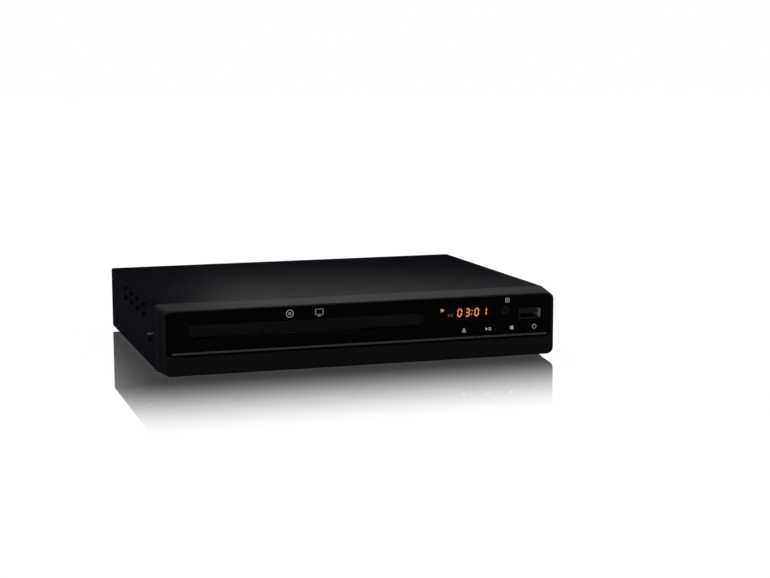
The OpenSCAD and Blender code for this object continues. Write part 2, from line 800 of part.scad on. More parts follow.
module clamper() color(white_plastic) from_front() difference() {
    union() {
        post(tray_x, disc_y, pad_z, pad_z + pad_t, pad_d);
        post(tray_x, disc_y, pad_z, bridge_top + flange_rise, bridge_hole - 2 * hub_play);
        post(tray_x, disc_y, bridge_top + flange_rise, bridge_top + flange_rise + flange_t, flange_d);
    }
    post(tray_x, disc_y, pad_z - cut, pad_z + cone_hole_h, cone_hole_d);
    post(tray_x, disc_y, bridge_top, bridge_top + flange_rise + flange_t + cut, dish_d);
}

module loading_motor() color(plated) from_front() {
    post(motor_x, drive_y, cavity_z0 + 0.3, cup_z, motor_d);
    post(motor_x, drive_y, cup_z, cup_z + cup_roof, motor_boss_d);
}

pulley_lip = 1.2;
lip_t = 0.6;

// A pulley with a shallow groove for the square belt, round a bore
module groove_pulley(x, r, bore_r) translate([x, drive_y, belt_z]) rotate_extrude()
    polygon([[bore_r, 0], [r + pulley_lip, 0], [r + pulley_lip, lip_t], [r, lip_t],
        [r, pulley_t - lip_t], [r + pulley_lip, pulley_t - lip_t],
        [r + pulley_lip, pulley_t], [bore_r, pulley_t]]);

motor_shaft_d = 1.5;

module motor_pulley() color(white_plastic) from_front() {
    groove_pulley(motor_x, motor_r, motor_shaft_d / 2);
    post(motor_x, drive_y, cup_z + cup_roof + snug, belt_z + pulley_t, motor_shaft_d);
}

belt_gap = 0.15;
belt_w = 1.2;

module belt_line(extra) hull() {
    translate([motor_x, drive_y]) circle(r = motor_r + belt_gap + extra);
    translate([idler_x, drive_y]) circle(r = pulley_r + belt_gap + extra);
}

module loading_belt() color(rubber_black) from_front() translate([0, 0, belt_z + (pulley_t - belt_w) / 2])
    linear_extrude(height = belt_w) difference() {
        belt_line(belt_w);
        belt_line(0);
    }

gear_hub_d = 7;

// The idler's pinion has a gap towards the drive gear, which has a tooth towards it
module pulley_gear() color(white_plastic) from_front() {
    bore_r = axle_d / 2 + fit;
    groove_pulley(idler_x, pulley_r, bore_r);
    difference() {
        union() {
            translate([idler_x, drive_y, low_z])
                gear(small_teeth, 180 + pitch_deg(small_teeth) / 2, gear_t);
            post(idler_x, drive_y, low_z, belt_z, gear_hub_d);
        }
        post(idler_x, drive_y, low_z - cut, belt_z + cut, 2 * bore_r);
    }
}

drive_hub_d = 8;

module drive_gear() color(white_plastic) from_front() difference() {
    union() {
        translate([drive_x, drive_y, low_z]) gear(low_teeth, 0, gear_t);
        translate([drive_x, drive_y, rim_z0 + snug]) gear(drive_teeth, 180, rack_t - 2 * snug);
        post(drive_x, drive_y, low_z, rim_z0 + rack_t - snug, drive_hub_d);
    }
    post(drive_x, drive_y, low_z - cut, rim_z0 + rack_t + cut, axle_d + 2 * fit);
}

cam_z0 = floor_z + 1.8;
cam_z1 = pivot_z + 4.4;
cam_x0 = cam_pins[0] - cam_run - 5;
cam_x1 = cam_pins[1] + 4;
cam_foot_d = 2.2;
cam_foot_z = frame_top + 0.3;
cam_foot_t = 1.2;
cam_slot_w = cam_pin_d + 0.4;
drop_at_pin = lift_arm * sin(lift_angle);

// The slot that carries a pin down as the slider runs to the right
module cam_slot(x) {
    rise = atan2(drop_at_pin, cam_run);
    length = norm([drop_at_pin, cam_run]);
    translate([x, pivot_z]) rotate([0, 0, 180 + rise]) {
        translate([0, -cam_slot_w / 2]) square([length, cam_slot_w]);
        for (u = [0, length])
            translate([u, 0]) circle(d = cam_slot_w);
    }
}

module cam_slider() color(white_plastic) from_front() {
    difference() {
        block(cam_x0, cam_x1, cam_y, cam_y + cam_t, cam_z0, cam_z1);
        along_y(cam_y - cut, cam_y + cam_t + cut)
            for (x = cam_pins)
                cam_slot(x);
    }
    block(cam_x0, cam_x1, cam_y - cam_foot_d, cam_y, cam_foot_z, cam_foot_z + cam_foot_t);
}

// ---- Tray ----

rack_back = 2.6;
small_well_r = 40.4;
small_well_dip = 0.8;
window_x = rim_x - 21;
window_half = 14;
window_y0 = disc_y + well_r - 6;
window_y1 = tray_y1 - 4;
rail_z = rim_z0 + 0.6;
rail_t = 1.9;
rail_start = 2;
rack_start = 2.6;
apron_in = 8;
apron_t = 1.6;
apron_z = rim_z0 + 0.4;

module tray() color(satin_black) from_front() difference() {
    union() {
        block(tray_x - rim_x, tray_x + rim_x, tray_y0, tray_y1, plate_z, rim_z1);
        for (side = [-1, 1])
            side_block(tray_x, side, 2 * rim_x - rail_x, rail_x, tray_y0 + rail_start, tray_y1,
                rail_z, rail_z + rail_t);
        block(tray_x + 2 * rim_x - rail_x, tray_x + rim_x, tray_y0, tray_y1, rim_z0, plate_z);
        translate([rack_x, drive_y, rim_z0])
            rack(-rack_start, tray_y1 - drive_y, rack_back, plate_z - rim_z0);
        block(tray_x - rim_x, rack_x - rack_back, tray_y0, tray_y1, rim_z0, plate_z);
        block(tray_x - rim_x + apron_in, tray_x + rim_x - apron_in,
            tray_y0, tray_y0 + apron_t, apron_z, plate_z);
    }
    post(tray_x, disc_y, well_z, rim_z1 + cut, 2 * well_r);
    post(tray_x, disc_y, well_z - small_well_dip, well_z + cut, 2 * small_well_r);
    post(tray_x, disc_y, plate_z - cut, well_z + cut, slot_w);
    block(tray_x - slot_w / 2, tray_x + slot_w / 2, disc_y, tray_y1 + cut, rim_z0 - cut, rim_z1 + cut);
    for (side = [-1, 1])
        side_block(tray_x, side, window_x - window_half, window_x + window_half, window_y0, window_y1,
            well_z, rim_z1 + cut);
}

cap_t = 2.4;

module tray_cap() color(satin_black) from_front()
    along_y(tray_y0 - cap_t, tray_y0) racetrack(tray_x, cap_z, cap_w, cap_h);

// ---- Traverse ----

beam_x = 8;
beam_y = 6;
beam_end = 5;
pivot_land = 2;
trunnion_l = 8;
damper_hole = 2.5;

module lift_frame() color(grey_plastic) from_front() {
    difference() {
        block(lift_x0, lift_x1, lift_y0, pivot_y + pivot_land, lift_z, lift_z + lift_t);
        block(lift_x0 + beam_x, lift_x1 - beam_x, lift_y0 + beam_y, pivot_y - beam_end,
            lift_z - cut, lift_z + lift_t + cut);
        for (x = damper_xs, y = damper_ys)
            post(x, y, lift_z - cut, lift_z + lift_t + cut, damper_hole);
    }
    for (x = cam_pins)
        rod_along_y(x, cam_y + snug, lift_y0, pivot_z, cam_pin_d);
    rod_along_x(lift_x0 - trunnion_l, lift_x0, pivot_y, pivot_z, pivot_d);
    rod_along_x(lift_x1, lift_x1 + trunnion_l, pivot_y, pivot_z, pivot_d);
}

ear = 4;
ear_hole = 5;
deck_y1 = pivot_y - 4.5;
sled_slot_half = 14;
sled_slot_y1 = pivot_y - 10;
motor_neck_hole = 4;
rod_post_half = 2.3;
rod_post_t = 2.5;
rod_cap = 0.3;
rod_play = 0.04;
gear_pin_d = 2;

module traverse_deck() color(zinc) from_front() {
    difference() {
        union() {
            block(lift_x0 + beam_x, lift_x1 - beam_x, lift_y0 + beam_y, deck_y1, deck_z, deck_top);
            for (x = damper_xs, y = damper_ys)
                block(x - ear, x + ear, y - ear, y + ear, deck_z, deck_top);
        }
        for (x = damper_xs, y = damper_ys)
            post(x, y, deck_z - cut, deck_top + cut, ear_hole + 2 * snug);
        block(tray_x - sled_slot_half, tray_x + sled_slot_half, sled_y0, sled_slot_y1,
            deck_z - cut, deck_top + cut);
        post(sled_gear_x, pinion_y, deck_z - cut, deck_top + cut, motor_neck_hole);
    }
    for (x = [tray_x - rod_x, tray_x + rod_x], y = post_ys) difference() {
        block(x - rod_post_half, x + rod_post_half, y, y + rod_post_t, deck_top, rod_z + rod_d / 2 + rod_cap);
        rod_along_y(x, y - cut, y + rod_post_t + cut, rod_z, rod_d + rod_play);
    }
    post(sled_gear_x, sled_gear_y, deck_top, sled_gear_z + sled_gear_t + 2 * snug, gear_pin_d);
}

damper_d = 7;
damper_lip = 0.8;

module dampers() color(rubber_black) from_front() for (x = damper_xs, y = damper_ys) difference() {
    union() {
        post(x, y, lift_z + lift_t, deck_z, damper_d);
        post(x, y, deck_z, deck_top, ear_hole);
        post(x, y, deck_top, deck_top + damper_lip, damper_d);
    }
    post(x, y, lift_z, deck_top + damper_lip + cut, damper_hole);
}

motor_gap = 0.4;
stator_d = 26;
stator_t = 1.4;
coil_d = 16.6;
coil_top = deck_top + 5.2;
bearing_d = 6;
bearing_top = coil_top + 0.8;
shaft_floor = deck_top + motor_gap;

module spindle_motor() color(zinc) from_front() difference() {
    union() {
        post(tray_x, disc_y, deck_top, deck_top + stator_t, stator_d);
        post(tray_x, disc_y, deck_top + stator_t, coil_top, coil_d);
        post(tray_x, disc_y, coil_top, bearing_top, bearing_d);
    }
    post(tray_x, disc_y, shaft_floor, bearing_top + 1, axle_d + 2 * fit);
}

rotor_z = deck_top + stator_t + motor_gap;
rotor_d = 22;
rotor_bore = coil_d + 2;
rotor_roof = bearing_top + 0.6;
platter_t = 1.8;
cone_d = 14.8;
cone_tip_d = 12;
cone_h = 2;

module turntable() color(grey_plastic) from_front() {
    difference() {
        union() {
            post(tray_x, disc_y, rotor_z, seat_z - platter_t, rotor_d);
            post(tray_x, disc_y, seat_z - platter_t, seat_z, turntable_d);
            translate([tray_x, disc_y, seat_z]) cylinder(d1 = cone_d, d2 = cone_tip_d, h = cone_h);
        }
        post(tray_x, disc_y, rotor_z - cut, rotor_roof, rotor_bore);
    }
    post(tray_x, disc_y, shaft_floor + 0.2, rotor_roof + 0.2, axle_d);
}

module guide_rods() color(plated) from_front() for (side = [-1, 1])
    rod_along_y(tray_x + side * rod_x, post_ys[0], post_ys[1] + rod_post_t, rod_z, rod_d);

sled_y0 = lens_y - sled_front;
sled_y1 = lens_y + sled_back;
sled_left = rod_x + 3.4;
sled_right = rod_x + 1.5;
sled_rack_front = 2.4;
sled_rack_rear = 2.6;
sled_rack_back = 2.8;
holder_half_x = 6;
holder_half_y = 5;
holder_h = 1.9;
holder_play = 0.4;
focus_room = focus_run + 0.3;
lens_seat_z = sled_z1 + 0.8;
pickup_lens_d = 5;
pickup_lens_h = 1.6;
lens_ball_d = 8.4;
lens_ball_drop = 2.6;

module pickup_sled() color(gloss_black) from_front() difference() {
    union() {
        block(tray_x - sled_left, tray_x + sled_right, sled_y0, sled_y1, sled_z0, sled_z1);
        translate([sled_rack_x, sled_gear_y, sled_gear_z])
            rack(-sled_run - sled_rack_front, sled_rack_rear, sled_rack_back, sled_gear_t);
    }
    for (side = [-1, 1])
        rod_along_y(tray_x + side * rod_x, sled_y0 - cut, sled_y1 + cut, rod_z, rod_d + 2 * fit);
    block(tray_x - holder_half_x - holder_play, tray_x + holder_half_x + holder_play,
        lens_y - holder_half_y - holder_play, lens_y + holder_half_y + holder_play,
        sled_z1 - focus_room, sled_z1 + cut);
}

module lens_holder() color(grey_plastic) from_front() difference() {
    block(tray_x - holder_half_x, tray_x + holder_half_x, lens_y - holder_half_y, lens_y + holder_half_y,
        sled_z1, sled_z1 + holder_h);
    post(tray_x, lens_y, lens_seat_z, sled_z1 + holder_h + cut, pickup_lens_d + 2 * snug);
}

module pickup_lens() color(smoke) from_front() translate([tray_x, lens_y, lens_seat_z])
    intersection() {
        cylinder(d = pickup_lens_d, h = pickup_lens_h);
        translate([0, 0, -lens_ball_drop]) sphere(d = lens_ball_d);
    }

sled_motor_d = 14;
sled_motor_h = 8.4;
sled_motor_neck = 3.6;

module sled_motor() color(plated) from_front() {
    post(sled_gear_x, pinion_y, deck_z - sled_motor_h, deck_z, sled_motor_d);
    post(sled_gear_x, pinion_y, deck_z, deck_top + 0.2, sled_motor_neck);
}

// The sled's wheel has a tooth towards the rack, and a tooth towards the motor's pinion
module sled_gear() color(white_plastic) from_front() difference() {
    translate([sled_gear_x, sled_gear_y, sled_gear_z]) gear(sled_teeth, 90, sled_gear_t);
    post(sled_gear_x, sled_gear_y, sled_gear_z - cut, sled_gear_z + sled_gear_t + cut, gear_pin_d + 2 * fit);
}

module sled_pinion() color(white_plastic) from_front() {
    translate([sled_gear_x, pinion_y, sled_gear_z])
        gear(pinion_teeth, -90 + pitch_deg(pinion_teeth) / 2, sled_gear_t);
    post(sled_gear_x, pinion_y, deck_top + 0.4, sled_gear_z, motor_shaft_d);
}

// ---- Boards and sockets ----

module main_board() color(board_green) from_front() difference() {
    block(main_x0, main_x1, main_y0, main_y1, stand_z, board_top);
    for (b = board_bosses)
        post(b[0], b[1], stand_z - cut, board_top + cut, free_hole);
}

can_n = 4;
can_pitch = 9;
ribbon_w = 12;
ribbon_t = 0.4;
ribbon_x0 = main_x1 - 22;
ribbon_end_w = 18;
ribbon_end_d = 4;
ribbon_end_h = 6;
board_can_d = 5;
board_can_h = 9;

// A chip from its corner on the main board
module chip(x, y, w, d, h)
    block(main_x0 + x, main_x0 + x + w, main_y0 + y, main_y0 + y + d, board_top, board_top + h);

module board_chips() color(gloss_black) from_front() {
    chip(x = 16, y = 34, w = 20, d = 20, h = 1.6);
    chip(x = main_x1 - main_x0 - 20, y = 32, w = 10, d = 18, h = 1.2);
    chip(x = 12, y = 16, w = 6, d = 5, h = 1.5);
    for (i = [0:can_n - 1])
        post(main_x0 + 10 + i * can_pitch, main_y0 + 66, board_top, board_top + board_can_h, board_can_d);
    chip(x = ribbon_x0 - main_x0 - 4, y = 4, w = ribbon_end_w, d = ribbon_end_d, h = ribbon_end_h);
}

jack_body_w = 10;
jack_body_d = 12.5;
jack_body_h = 12.6;

jack_hole = 3.3;

// Each phono socket has a shoulder that fills its hole in the rear panel
module rca_jacks() color(grey_plastic) from_front() for (i = [0:jack_n - 1]) {
    x = jack_x + i * jack_pitch;
    face_block(x, board_top + jack_body_h / 2, jack_body_w, jack_body_h, panel_y - jack_body_d, panel_y);
    difference() {
        union() {
            rod_along_y(x, panel_y, case_d + jack_out, jack_z, jack_d);
            rod_along_y(x, panel_y, panel_y + sheet_t, jack_z, jack_shoulder_d);
        }
        rod_along_y(x, panel_y + 2, case_d + jack_out + cut, jack_z, jack_hole);
    }
}

hdmi_shell = 0.4;
hdmi_y0 = panel_y - 11;
hdmi_floor_y = hdmi_y0 + 2;
hdmi_blade_w = 10;
hdmi_blade_t = 1.2;
hdmi_blade_z = board_top + 2.6;

module hdmi_socket() color(plated) from_front() difference() {
    face_block(hdmi_x, hdmi_z, hdmi_w, hdmi_h, hdmi_y0, panel_y + sheet_t + 0.4);
    difference() {
        face_block(hdmi_x, hdmi_z, hdmi_w - 2 * hdmi_shell, hdmi_h - 2 * hdmi_shell, hdmi_floor_y, case_d);
        face_block(hdmi_x, hdmi_blade_z, hdmi_blade_w, hdmi_blade_t, hdmi_floor_y - 1, panel_y - 1);
    }
}

module power_board() color(board_tan) from_front() difference() {
    block(power_x0, power_x1, power_y0, main_y1, stand_z, board_top);
    for (b = board_bosses)
        post(b[0], b[1], stand_z - cut, board_top + cut, free_hole);
}

core_w = 18;
core_d = 16;
core_h = 16;
core_t = 4;
big_can_d = 12.5;
big_can_h = 18;
can_d = 7;
can_h = 12;
sink_h = 20;
sink_d = 15;
fin_n = 4;
fin_pitch = 4.5;
fin_t = 1.2;
fin_l = 2.5;
sink_t = 1.5;

// Places on the power board, from its left front corner
core_x = 44;
core_y = 2;
big_can_x = 74;
big_can_y = 11;
cans_x = 86;
cans_y = 12;
sink_x = 38;
sink_y = 2;
coil_in_x = 2;
coil_in_y = 1;

module transformer() color(copper) from_front() {
    x = power_x0 + core_x;
    y = power_y0 + core_y;
    top = board_top + core_h;
    block(x, x + core_w, y, y + core_d, board_top, board_top + core_t);
    block(x + coil_in_x, x + core_w - coil_in_x, y + coil_in_y, y + core_d - coil_in_y,
        board_top + core_t, top - core_t);
    block(x, x + core_w, y, y + core_d, top - core_t, top);
}

module capacitors() color(grey_plastic) from_front() {
    post(power_x0 + big_can_x, power_y0 + big_can_y, board_top, board_top + big_can_h, big_can_d);
    for (i = [0:1])
        post(power_x0 + cans_x + i * can_pitch, power_y0 + cans_y, board_top, board_top + can_h, can_d);
}

module power_heatsink() color(plated) from_front() {
    x = power_x0 + sink_x;
    y = power_y0 + sink_y;
    block(x, x + sink_t, y, y + sink_d, board_top, board_top + sink_h);
    for (i = [0:fin_n - 1])
        block(x - fin_l, x, y + i * fin_pitch, y + i * fin_pitch + fin_t, board_top, board_top + sink_h);
}

inlet_y0 = panel_y - 18;
inlet_foot_y1 = panel_y - 4;
cup_y0 = case_d - 14;
cup_h = 8.2;
pin_end_y = case_d - 1;

module mains_inlet() color(gloss_black) from_front() {
    difference() {
        union() {
            face_block(inlet_x, inlet_z, inlet_w, inlet_h, inlet_y0, case_d);
            block(inlet_x - inlet_w / 2, inlet_x + inlet_w / 2, inlet_y0, inlet_foot_y1,
                board_top, inlet_z - inlet_h / 2);
        }
        along_y(cup_y0, case_d + cut) racetrack(inlet_x, inlet_z, pin_pitch + cup_h, cup_h);
    }
    for (side = [-1, 1])
        rod_along_y(inlet_x + side * pin_pitch / 2, cup_y0, pin_end_y, inlet_z, pin_d);
}

module front_cable() color(white_plastic) from_front() {
    x1 = ribbon_x0 + ribbon_w;
    back_y = board_y + board_t;
    low_z = cavity_z0 + 2;
    block(ribbon_x0, x1, back_y, back_y + ribbon_t, low_z, board_top + 8);
    block(ribbon_x0, x1, back_y, main_y0 + 6, low_z - ribbon_t, low_z);
}

wire_n = 4;
wire_d = 1.2;
wire_pitch = 1.4;
wire_z = board_top + 2.1;

module power_harness() color(rubber_black) from_front() for (k = [0:wire_n - 1])
    rod_along_x(power_x1 - 2, main_x0 + 8, power_y0 + 3 + k * wire_pitch, wire_z, wire_d);

base_pan();
top_cover();
rear_panel();
bezel();
fascia();
display_lens();
display_module();
ir_receiver();
usb_socket();
front_board();
key_trim();
key_switches();
feet();
cover_screws();
board_screws();
loader_screws();
loader_frame();
clamp_bridge();
clamper();
loading_motor();
motor_pulley();
loading_belt();
pulley_gear();
drive_gear();
cam_slider();
tray();
tray_cap();
lift_frame();
traverse_deck();
dampers();
spindle_motor();
turntable();
guide_rods();
pickup_sled();
lens_holder();
pickup_lens();
sled_motor();
sled_pinion();
sled_gear();
main_board();
board_chips();
rca_jacks();
hdmi_socket();
power_board();
transformer();
capacitors();
power_heatsink();
mains_inlet();
front_cable();
power_harness();
key_eject();
key_play();
key_stop();
key_power();
stem_eject();
stem_play();
stem_stop();
stem_power();
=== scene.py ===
import json
import math
import random
import bpy
import bmesh
from mathutils import Matrix, Vector
from mathutils.bvhtree import BVHTree

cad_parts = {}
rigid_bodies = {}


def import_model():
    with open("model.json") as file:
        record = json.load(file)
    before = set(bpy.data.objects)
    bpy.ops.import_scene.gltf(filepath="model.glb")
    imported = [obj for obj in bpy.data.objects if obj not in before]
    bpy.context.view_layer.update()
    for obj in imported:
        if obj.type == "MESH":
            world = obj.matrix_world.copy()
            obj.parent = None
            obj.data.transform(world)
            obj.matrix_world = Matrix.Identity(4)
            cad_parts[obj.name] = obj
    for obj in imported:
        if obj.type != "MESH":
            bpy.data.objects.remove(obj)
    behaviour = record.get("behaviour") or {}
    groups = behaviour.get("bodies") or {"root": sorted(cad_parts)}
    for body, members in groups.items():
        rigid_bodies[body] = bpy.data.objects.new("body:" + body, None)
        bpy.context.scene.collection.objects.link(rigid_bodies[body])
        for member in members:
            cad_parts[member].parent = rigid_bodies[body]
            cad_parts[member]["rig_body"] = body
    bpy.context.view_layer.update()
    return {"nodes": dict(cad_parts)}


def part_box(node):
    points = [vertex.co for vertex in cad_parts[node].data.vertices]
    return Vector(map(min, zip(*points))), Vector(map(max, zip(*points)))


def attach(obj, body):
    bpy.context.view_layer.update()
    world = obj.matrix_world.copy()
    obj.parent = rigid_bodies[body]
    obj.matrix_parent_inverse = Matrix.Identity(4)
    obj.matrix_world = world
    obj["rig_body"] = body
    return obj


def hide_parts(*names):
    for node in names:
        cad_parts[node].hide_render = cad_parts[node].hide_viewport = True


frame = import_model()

# ---- Studio ----
# A white table top that mirrors the player close by and fades to plain white. Dark walls and a roof, seen
# only in reflections, keep the black front and cover black. A soft lamp hangs overhead, a strip behind the
# player puts the sheen on its cover, and a weak card stands at each side.

scene = bpy.context.scene
scene.view_settings.view_transform = "Standard"
front_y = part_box("bezel")[0].y


def place(x, y, z):
    """A point in mm: x from the middle, y from the front face, z from the table."""
    return Vector((x / 1000, front_y + y / 1000, z / 1000))


# The camera's place, turn, tilt and roll, fitted to the edges of the case
camera_spot = (-0.25918, -0.94156, 0.1718)
yaw, pitch, roll = 0.308669, 0.142332, -0.002973
camera = bpy.data.objects.new("camera", bpy.data.cameras.new("camera"))
scene.collection.objects.link(camera)
ahead = Vector((math.sin(yaw) * math.cos(pitch), math.cos(yaw) * math.cos(pitch), -math.sin(pitch)))
level = Vector((math.cos(yaw), -math.sin(yaw), 0))
upward = level.cross(ahead)
to_right = math.cos(roll) * level + math.sin(roll) * upward
to_top = math.cos(roll) * upward - math.sin(roll) * level
turned_frame = Matrix((to_right, to_top, -ahead)).transposed().to_4x4()
camera.matrix_world = Matrix.Translation(camera_spot) @ turned_frame
camera.data.sensor_width = 36
camera.data.lens = 76.166
camera.data.clip_start = 0.02
scene.camera = camera


def add_mesh(name, mesh_data):
    mesh = bpy.data.meshes.new(name)
    mesh.from_pydata(*mesh_data)
    mesh.update()
    piece = bpy.data.objects.new(name, mesh)
    scene.collection.objects.link(piece)
    return piece


def sheet_card(name, corners):
    card = add_mesh(name, ([Vector(c) for c in corners], [], [(0, 1, 2, 3)]))
    return card


def new_material(name):
    material = bpy.data.materials.new(name)
    material.use_nodes = True
    tree = material.node_tree
    tree.nodes.clear()
    return material, tree


def node(tree, kind, settings=None, **values):
    """Adds a node; settings are its attributes, and values its inputs, by name or as i and a number."""
    made = tree.nodes.new(kind)
    for key, value in (settings or {}).items():
        setattr(made, key, value)
    for key, value in values.items():
        numbered = key[0] == "i" and key[1:].isdigit()
        socket = made.inputs[int(key[1:])] if numbered else made.inputs[key.replace("_", " ")]
        if isinstance(value, bpy.types.NodeSocket):
            tree.links.new(value, socket)
        else:
            socket.default_value = value
    return made


def maths(tree, operation, a, b=0.0):
    return node(tree, "ShaderNodeMath", {"operation": operation}, i0=a, i1=b).outputs[0]


def ranged(tree, value, low, high, start, end, **settings):
    """Runs from start to end as the value goes from low to high, and stays there beyond them."""
    return node(tree, "ShaderNodeMapRange", settings, i0=value, i1=low, i2=high, i3=start, i4=end).outputs[0]


def mixed_shader(tree, share, first, second):
    return node(tree, "ShaderNodeMixShader", i0=share, i1=first, i2=second).outputs[0]


def light_source(tree, colour, strength):
    return node(tree, "ShaderNodeEmission", Color=(*colour, 1), Strength=strength).outputs[0]


def object_place(tree):
    return node(tree, "ShaderNodeTexCoord").outputs["Object"]


# The table: plain white to the camera, a mirror close to the player, and dark in the player's own gloss
table_half = 6
under_case = (("X", 0.110), ("Y", 0.091))
mirror_reach, mirror_share = 0.137, 0.95
shadow_reach, shadow_share = 0.5, 0.12
table = sheet_card("table", [(-table_half, -table_half, 0), (table_half, -table_half, 0),
                             (table_half, table_half, 0), (-table_half, table_half, 0)])
material, tree = new_material("white table top")
rays = node(tree, "ShaderNodeLightPath")
away = node(tree, "ShaderNodeSeparateXYZ", i0=object_place(tree))
gaps = [maths(tree, "MAXIMUM", maths(tree, "SUBTRACT", maths(tree, "ABSOLUTE", away.outputs[axis]), half))
        for axis, half in under_case]
corner_gap = node(tree, "ShaderNodeCombineXYZ", i0=gaps[0], i1=gaps[1]).outputs[0]
gap = node(tree, "ShaderNodeVectorMath", {"operation": "LENGTH"}, i0=corner_gap).outputs["Value"]
fade = ranged(tree, gap, 0.0, mirror_reach, mirror_share, 0.0, interpolation_type="SMOOTHSTEP")
share = ranged(tree, gap, 0.0, shadow_reach, shadow_share, 0.0)
matt = node(tree, "ShaderNodeBsdfDiffuse", Color=(0.8, 0.8, 0.8, 1)).outputs[0]
mirror = node(tree, "ShaderNodeBsdfGlossy", Color=(1, 1, 1, 1), Roughness=0.03).outputs[0]
shade = mixed_shader(tree, share, light_source(tree, (1, 1, 1), 1.06), matt)
lit = mixed_shader(tree, fade, shade, mirror)
lit = mixed_shader(tree, rays.outputs["Is Diffuse Ray"], lit, matt)
lit = mixed_shader(tree, rays.outputs["Is Glossy Ray"], lit, light_source(tree, (0.014, 0.014, 0.016), 1.0))
node(tree, "ShaderNodeOutputMaterial", Surface=lit)
table.data.materials.append(material)

# The walls and the roof stand out of the camera's sight. A ray that starts on the table, in its mirror, goes
# through them to the white world; one that starts on the player sees them dark below and paler above.
room_half, room_h = 2.5, 2.2
table_skin = 0.0015
pale_from = 1.6
darkest = 0.0004


def wall_finish(name, dark_to, brightest):
    material, tree = new_material(name)
    rays = node(tree, "ShaderNodeLightPath")
    hit = node(tree, "ShaderNodeNewGeometry")
    back = node(tree, "ShaderNodeVectorMath", {"operation": "SCALE"},
                i0=hit.outputs["Incoming"], Scale=rays.outputs["Ray Length"])
    start = node(tree, "ShaderNodeVectorMath", {"operation": "ADD"},
                 i0=hit.outputs["Position"], i1=back.outputs[0])
    start_z = node(tree, "ShaderNodeSeparateXYZ", i0=start.outputs[0]).outputs["Z"]
    wall_z = node(tree, "ShaderNodeSeparateXYZ", i0=hit.outputs["Position"]).outputs["Z"]
    strength = ranged(tree, wall_z, dark_to, pale_from, darkest, brightest)
    through = node(tree, "ShaderNodeBsdfTransparent").outputs[0]
    seen = mixed_shader(tree, maths(tree, "GREATER_THAN", start_z, table_skin), through,
                        light_source(tree, (0.86, 0.92, 1.0), strength))
    node(tree, "ShaderNodeOutputMaterial", Surface=seen)
    return material


dark_walls = wall_finish("studio walls", 0.35, 0.012)
pale_wall = wall_finish("pale studio wall", 0.6, 0.22)
r, h = room_half, room_h
for name, corners in {
    "front_wall": [(-r, -r, 0), (r, -r, 0), (r, -r, h), (-r, -r, h)],
    "rear_wall": [(r, r, 0), (-r, r, 0), (-r, r, h), (r, r, h)],
    "left_wall": [(-r, r, 0), (-r, -r, 0), (-r, -r, h), (-r, r, h)],
    "right_wall": [(r, -r, 0), (r, r, 0), (r, r, h), (r, -r, h)],
    "roof": [(-r, -r, h), (r, -r, h), (r, r, h), (-r, r, h)],
}.items():
    wall = sheet_card(name, corners)
    wall.data.materials.append(pale_wall if name == "front_wall" else dark_walls)
    wall.visible_camera = False
    wall.visible_diffuse = False
    wall.visible_shadow = False
    wall.visible_transmission = False

world = bpy.data.worlds.new("studio")
scene.world = world
world.use_nodes = True
tree = world.node_tree
tree.nodes.clear()
rays = node(tree, "ShaderNodeLightPath")
seen = maths(tree, "MAXIMUM", rays.outputs["Is Camera Ray"], rays.outputs["Is Glossy Ray"])
seen = maths(tree, "MAXIMUM", seen, rays.outputs["Is Transmission Ray"])
room_light = node(tree, "ShaderNodeBackground", Color=(0.86, 0.93, 1.0, 1), Strength=0.5)
backdrop = node(tree, "ShaderNodeBackground", Color=(1, 1, 1, 1), Strength=1.0)
lit = mixed_shader(tree, seen, room_light.outputs[0], backdrop.outputs[0])
node(tree, "ShaderNodeOutputWorld", Surface=lit)


def soft_light(name, spot, target, width, height, watts, spread=180, colour=(1, 1, 1)):
    lamp = bpy.data.lights.new(name, "AREA")
    lamp.color = colour
    lamp.shape = "RECTANGLE"
    lamp.spread = math.radians(spread)
    lamp.size, lamp.size_y, lamp.energy = width, height, watts
    holder = bpy.data.objects.new(name, lamp)
    scene.collection.objects.link(holder)
    holder.location = spot
    holder.visible_camera = False
    holder.rotation_euler = (Vector(target) - Vector(spot)).to_track_quat("-Z", "Y").to_euler()


soft_light("overhead", spot=(0.0, 0.6, 1.4), target=(0, 0, 0), width=1.2, height=0.6, watts=12)
soft_light("rear_strip", spot=(0.14, front_y + 0.34, 0.20), target=(0.05, front_y, 0.03),
           width=0.32, height=0.04, watts=0.0035, spread=28)
soft_light("left_card", spot=(-1.1, front_y - 0.1, 0.35), target=(0, front_y, 0.02),
           width=0.3, height=0.5, watts=0.8, colour=(0.55, 0.78, 1.0))
soft_light("right_card", spot=(1.1, front_y - 0.25, 0.35), target=(0, front_y, 0.02),
           width=0.3, height=0.4, watts=0.3)

# ---- Feet ----
# Four round feet of black rubber, pressed into holes in the base.
# Moulded rubber is dull and a little dusty, and its edges are paler from wear and a painted highlight.


def grain_group():
    """Fine moulded or coated texture, with a slow mottle for fingers and dust."""
    group = bpy.data.node_groups.new("fine grain", "ShaderNodeTree")
    for name, start in (("Grain Scale", 900.0), ("Mottle Scale", 18.0)):
        group.interface.new_socket(name, in_out="INPUT", socket_type="NodeSocketFloat").default_value = start
    for name in ("Height", "Mottle"):
        group.interface.new_socket(name, in_out="OUTPUT", socket_type="NodeSocketFloat")
    given = group.nodes.new("NodeGroupInput")
    put = group.nodes.new("NodeGroupOutput")
    where = object_place(group)
    fine = node(group, "ShaderNodeTexNoise", Vector=where, Scale=given.outputs["Grain Scale"],
                Detail=3.0, Roughness=0.6)
    slow = node(group, "ShaderNodeTexNoise", Vector=where, Scale=given.outputs["Mottle Scale"],
                Detail=5.0, Roughness=0.65)
    group.links.new(fine.outputs[0], put.inputs["Height"])
    group.links.new(slow.outputs[0], put.inputs["Mottle"])
    return group


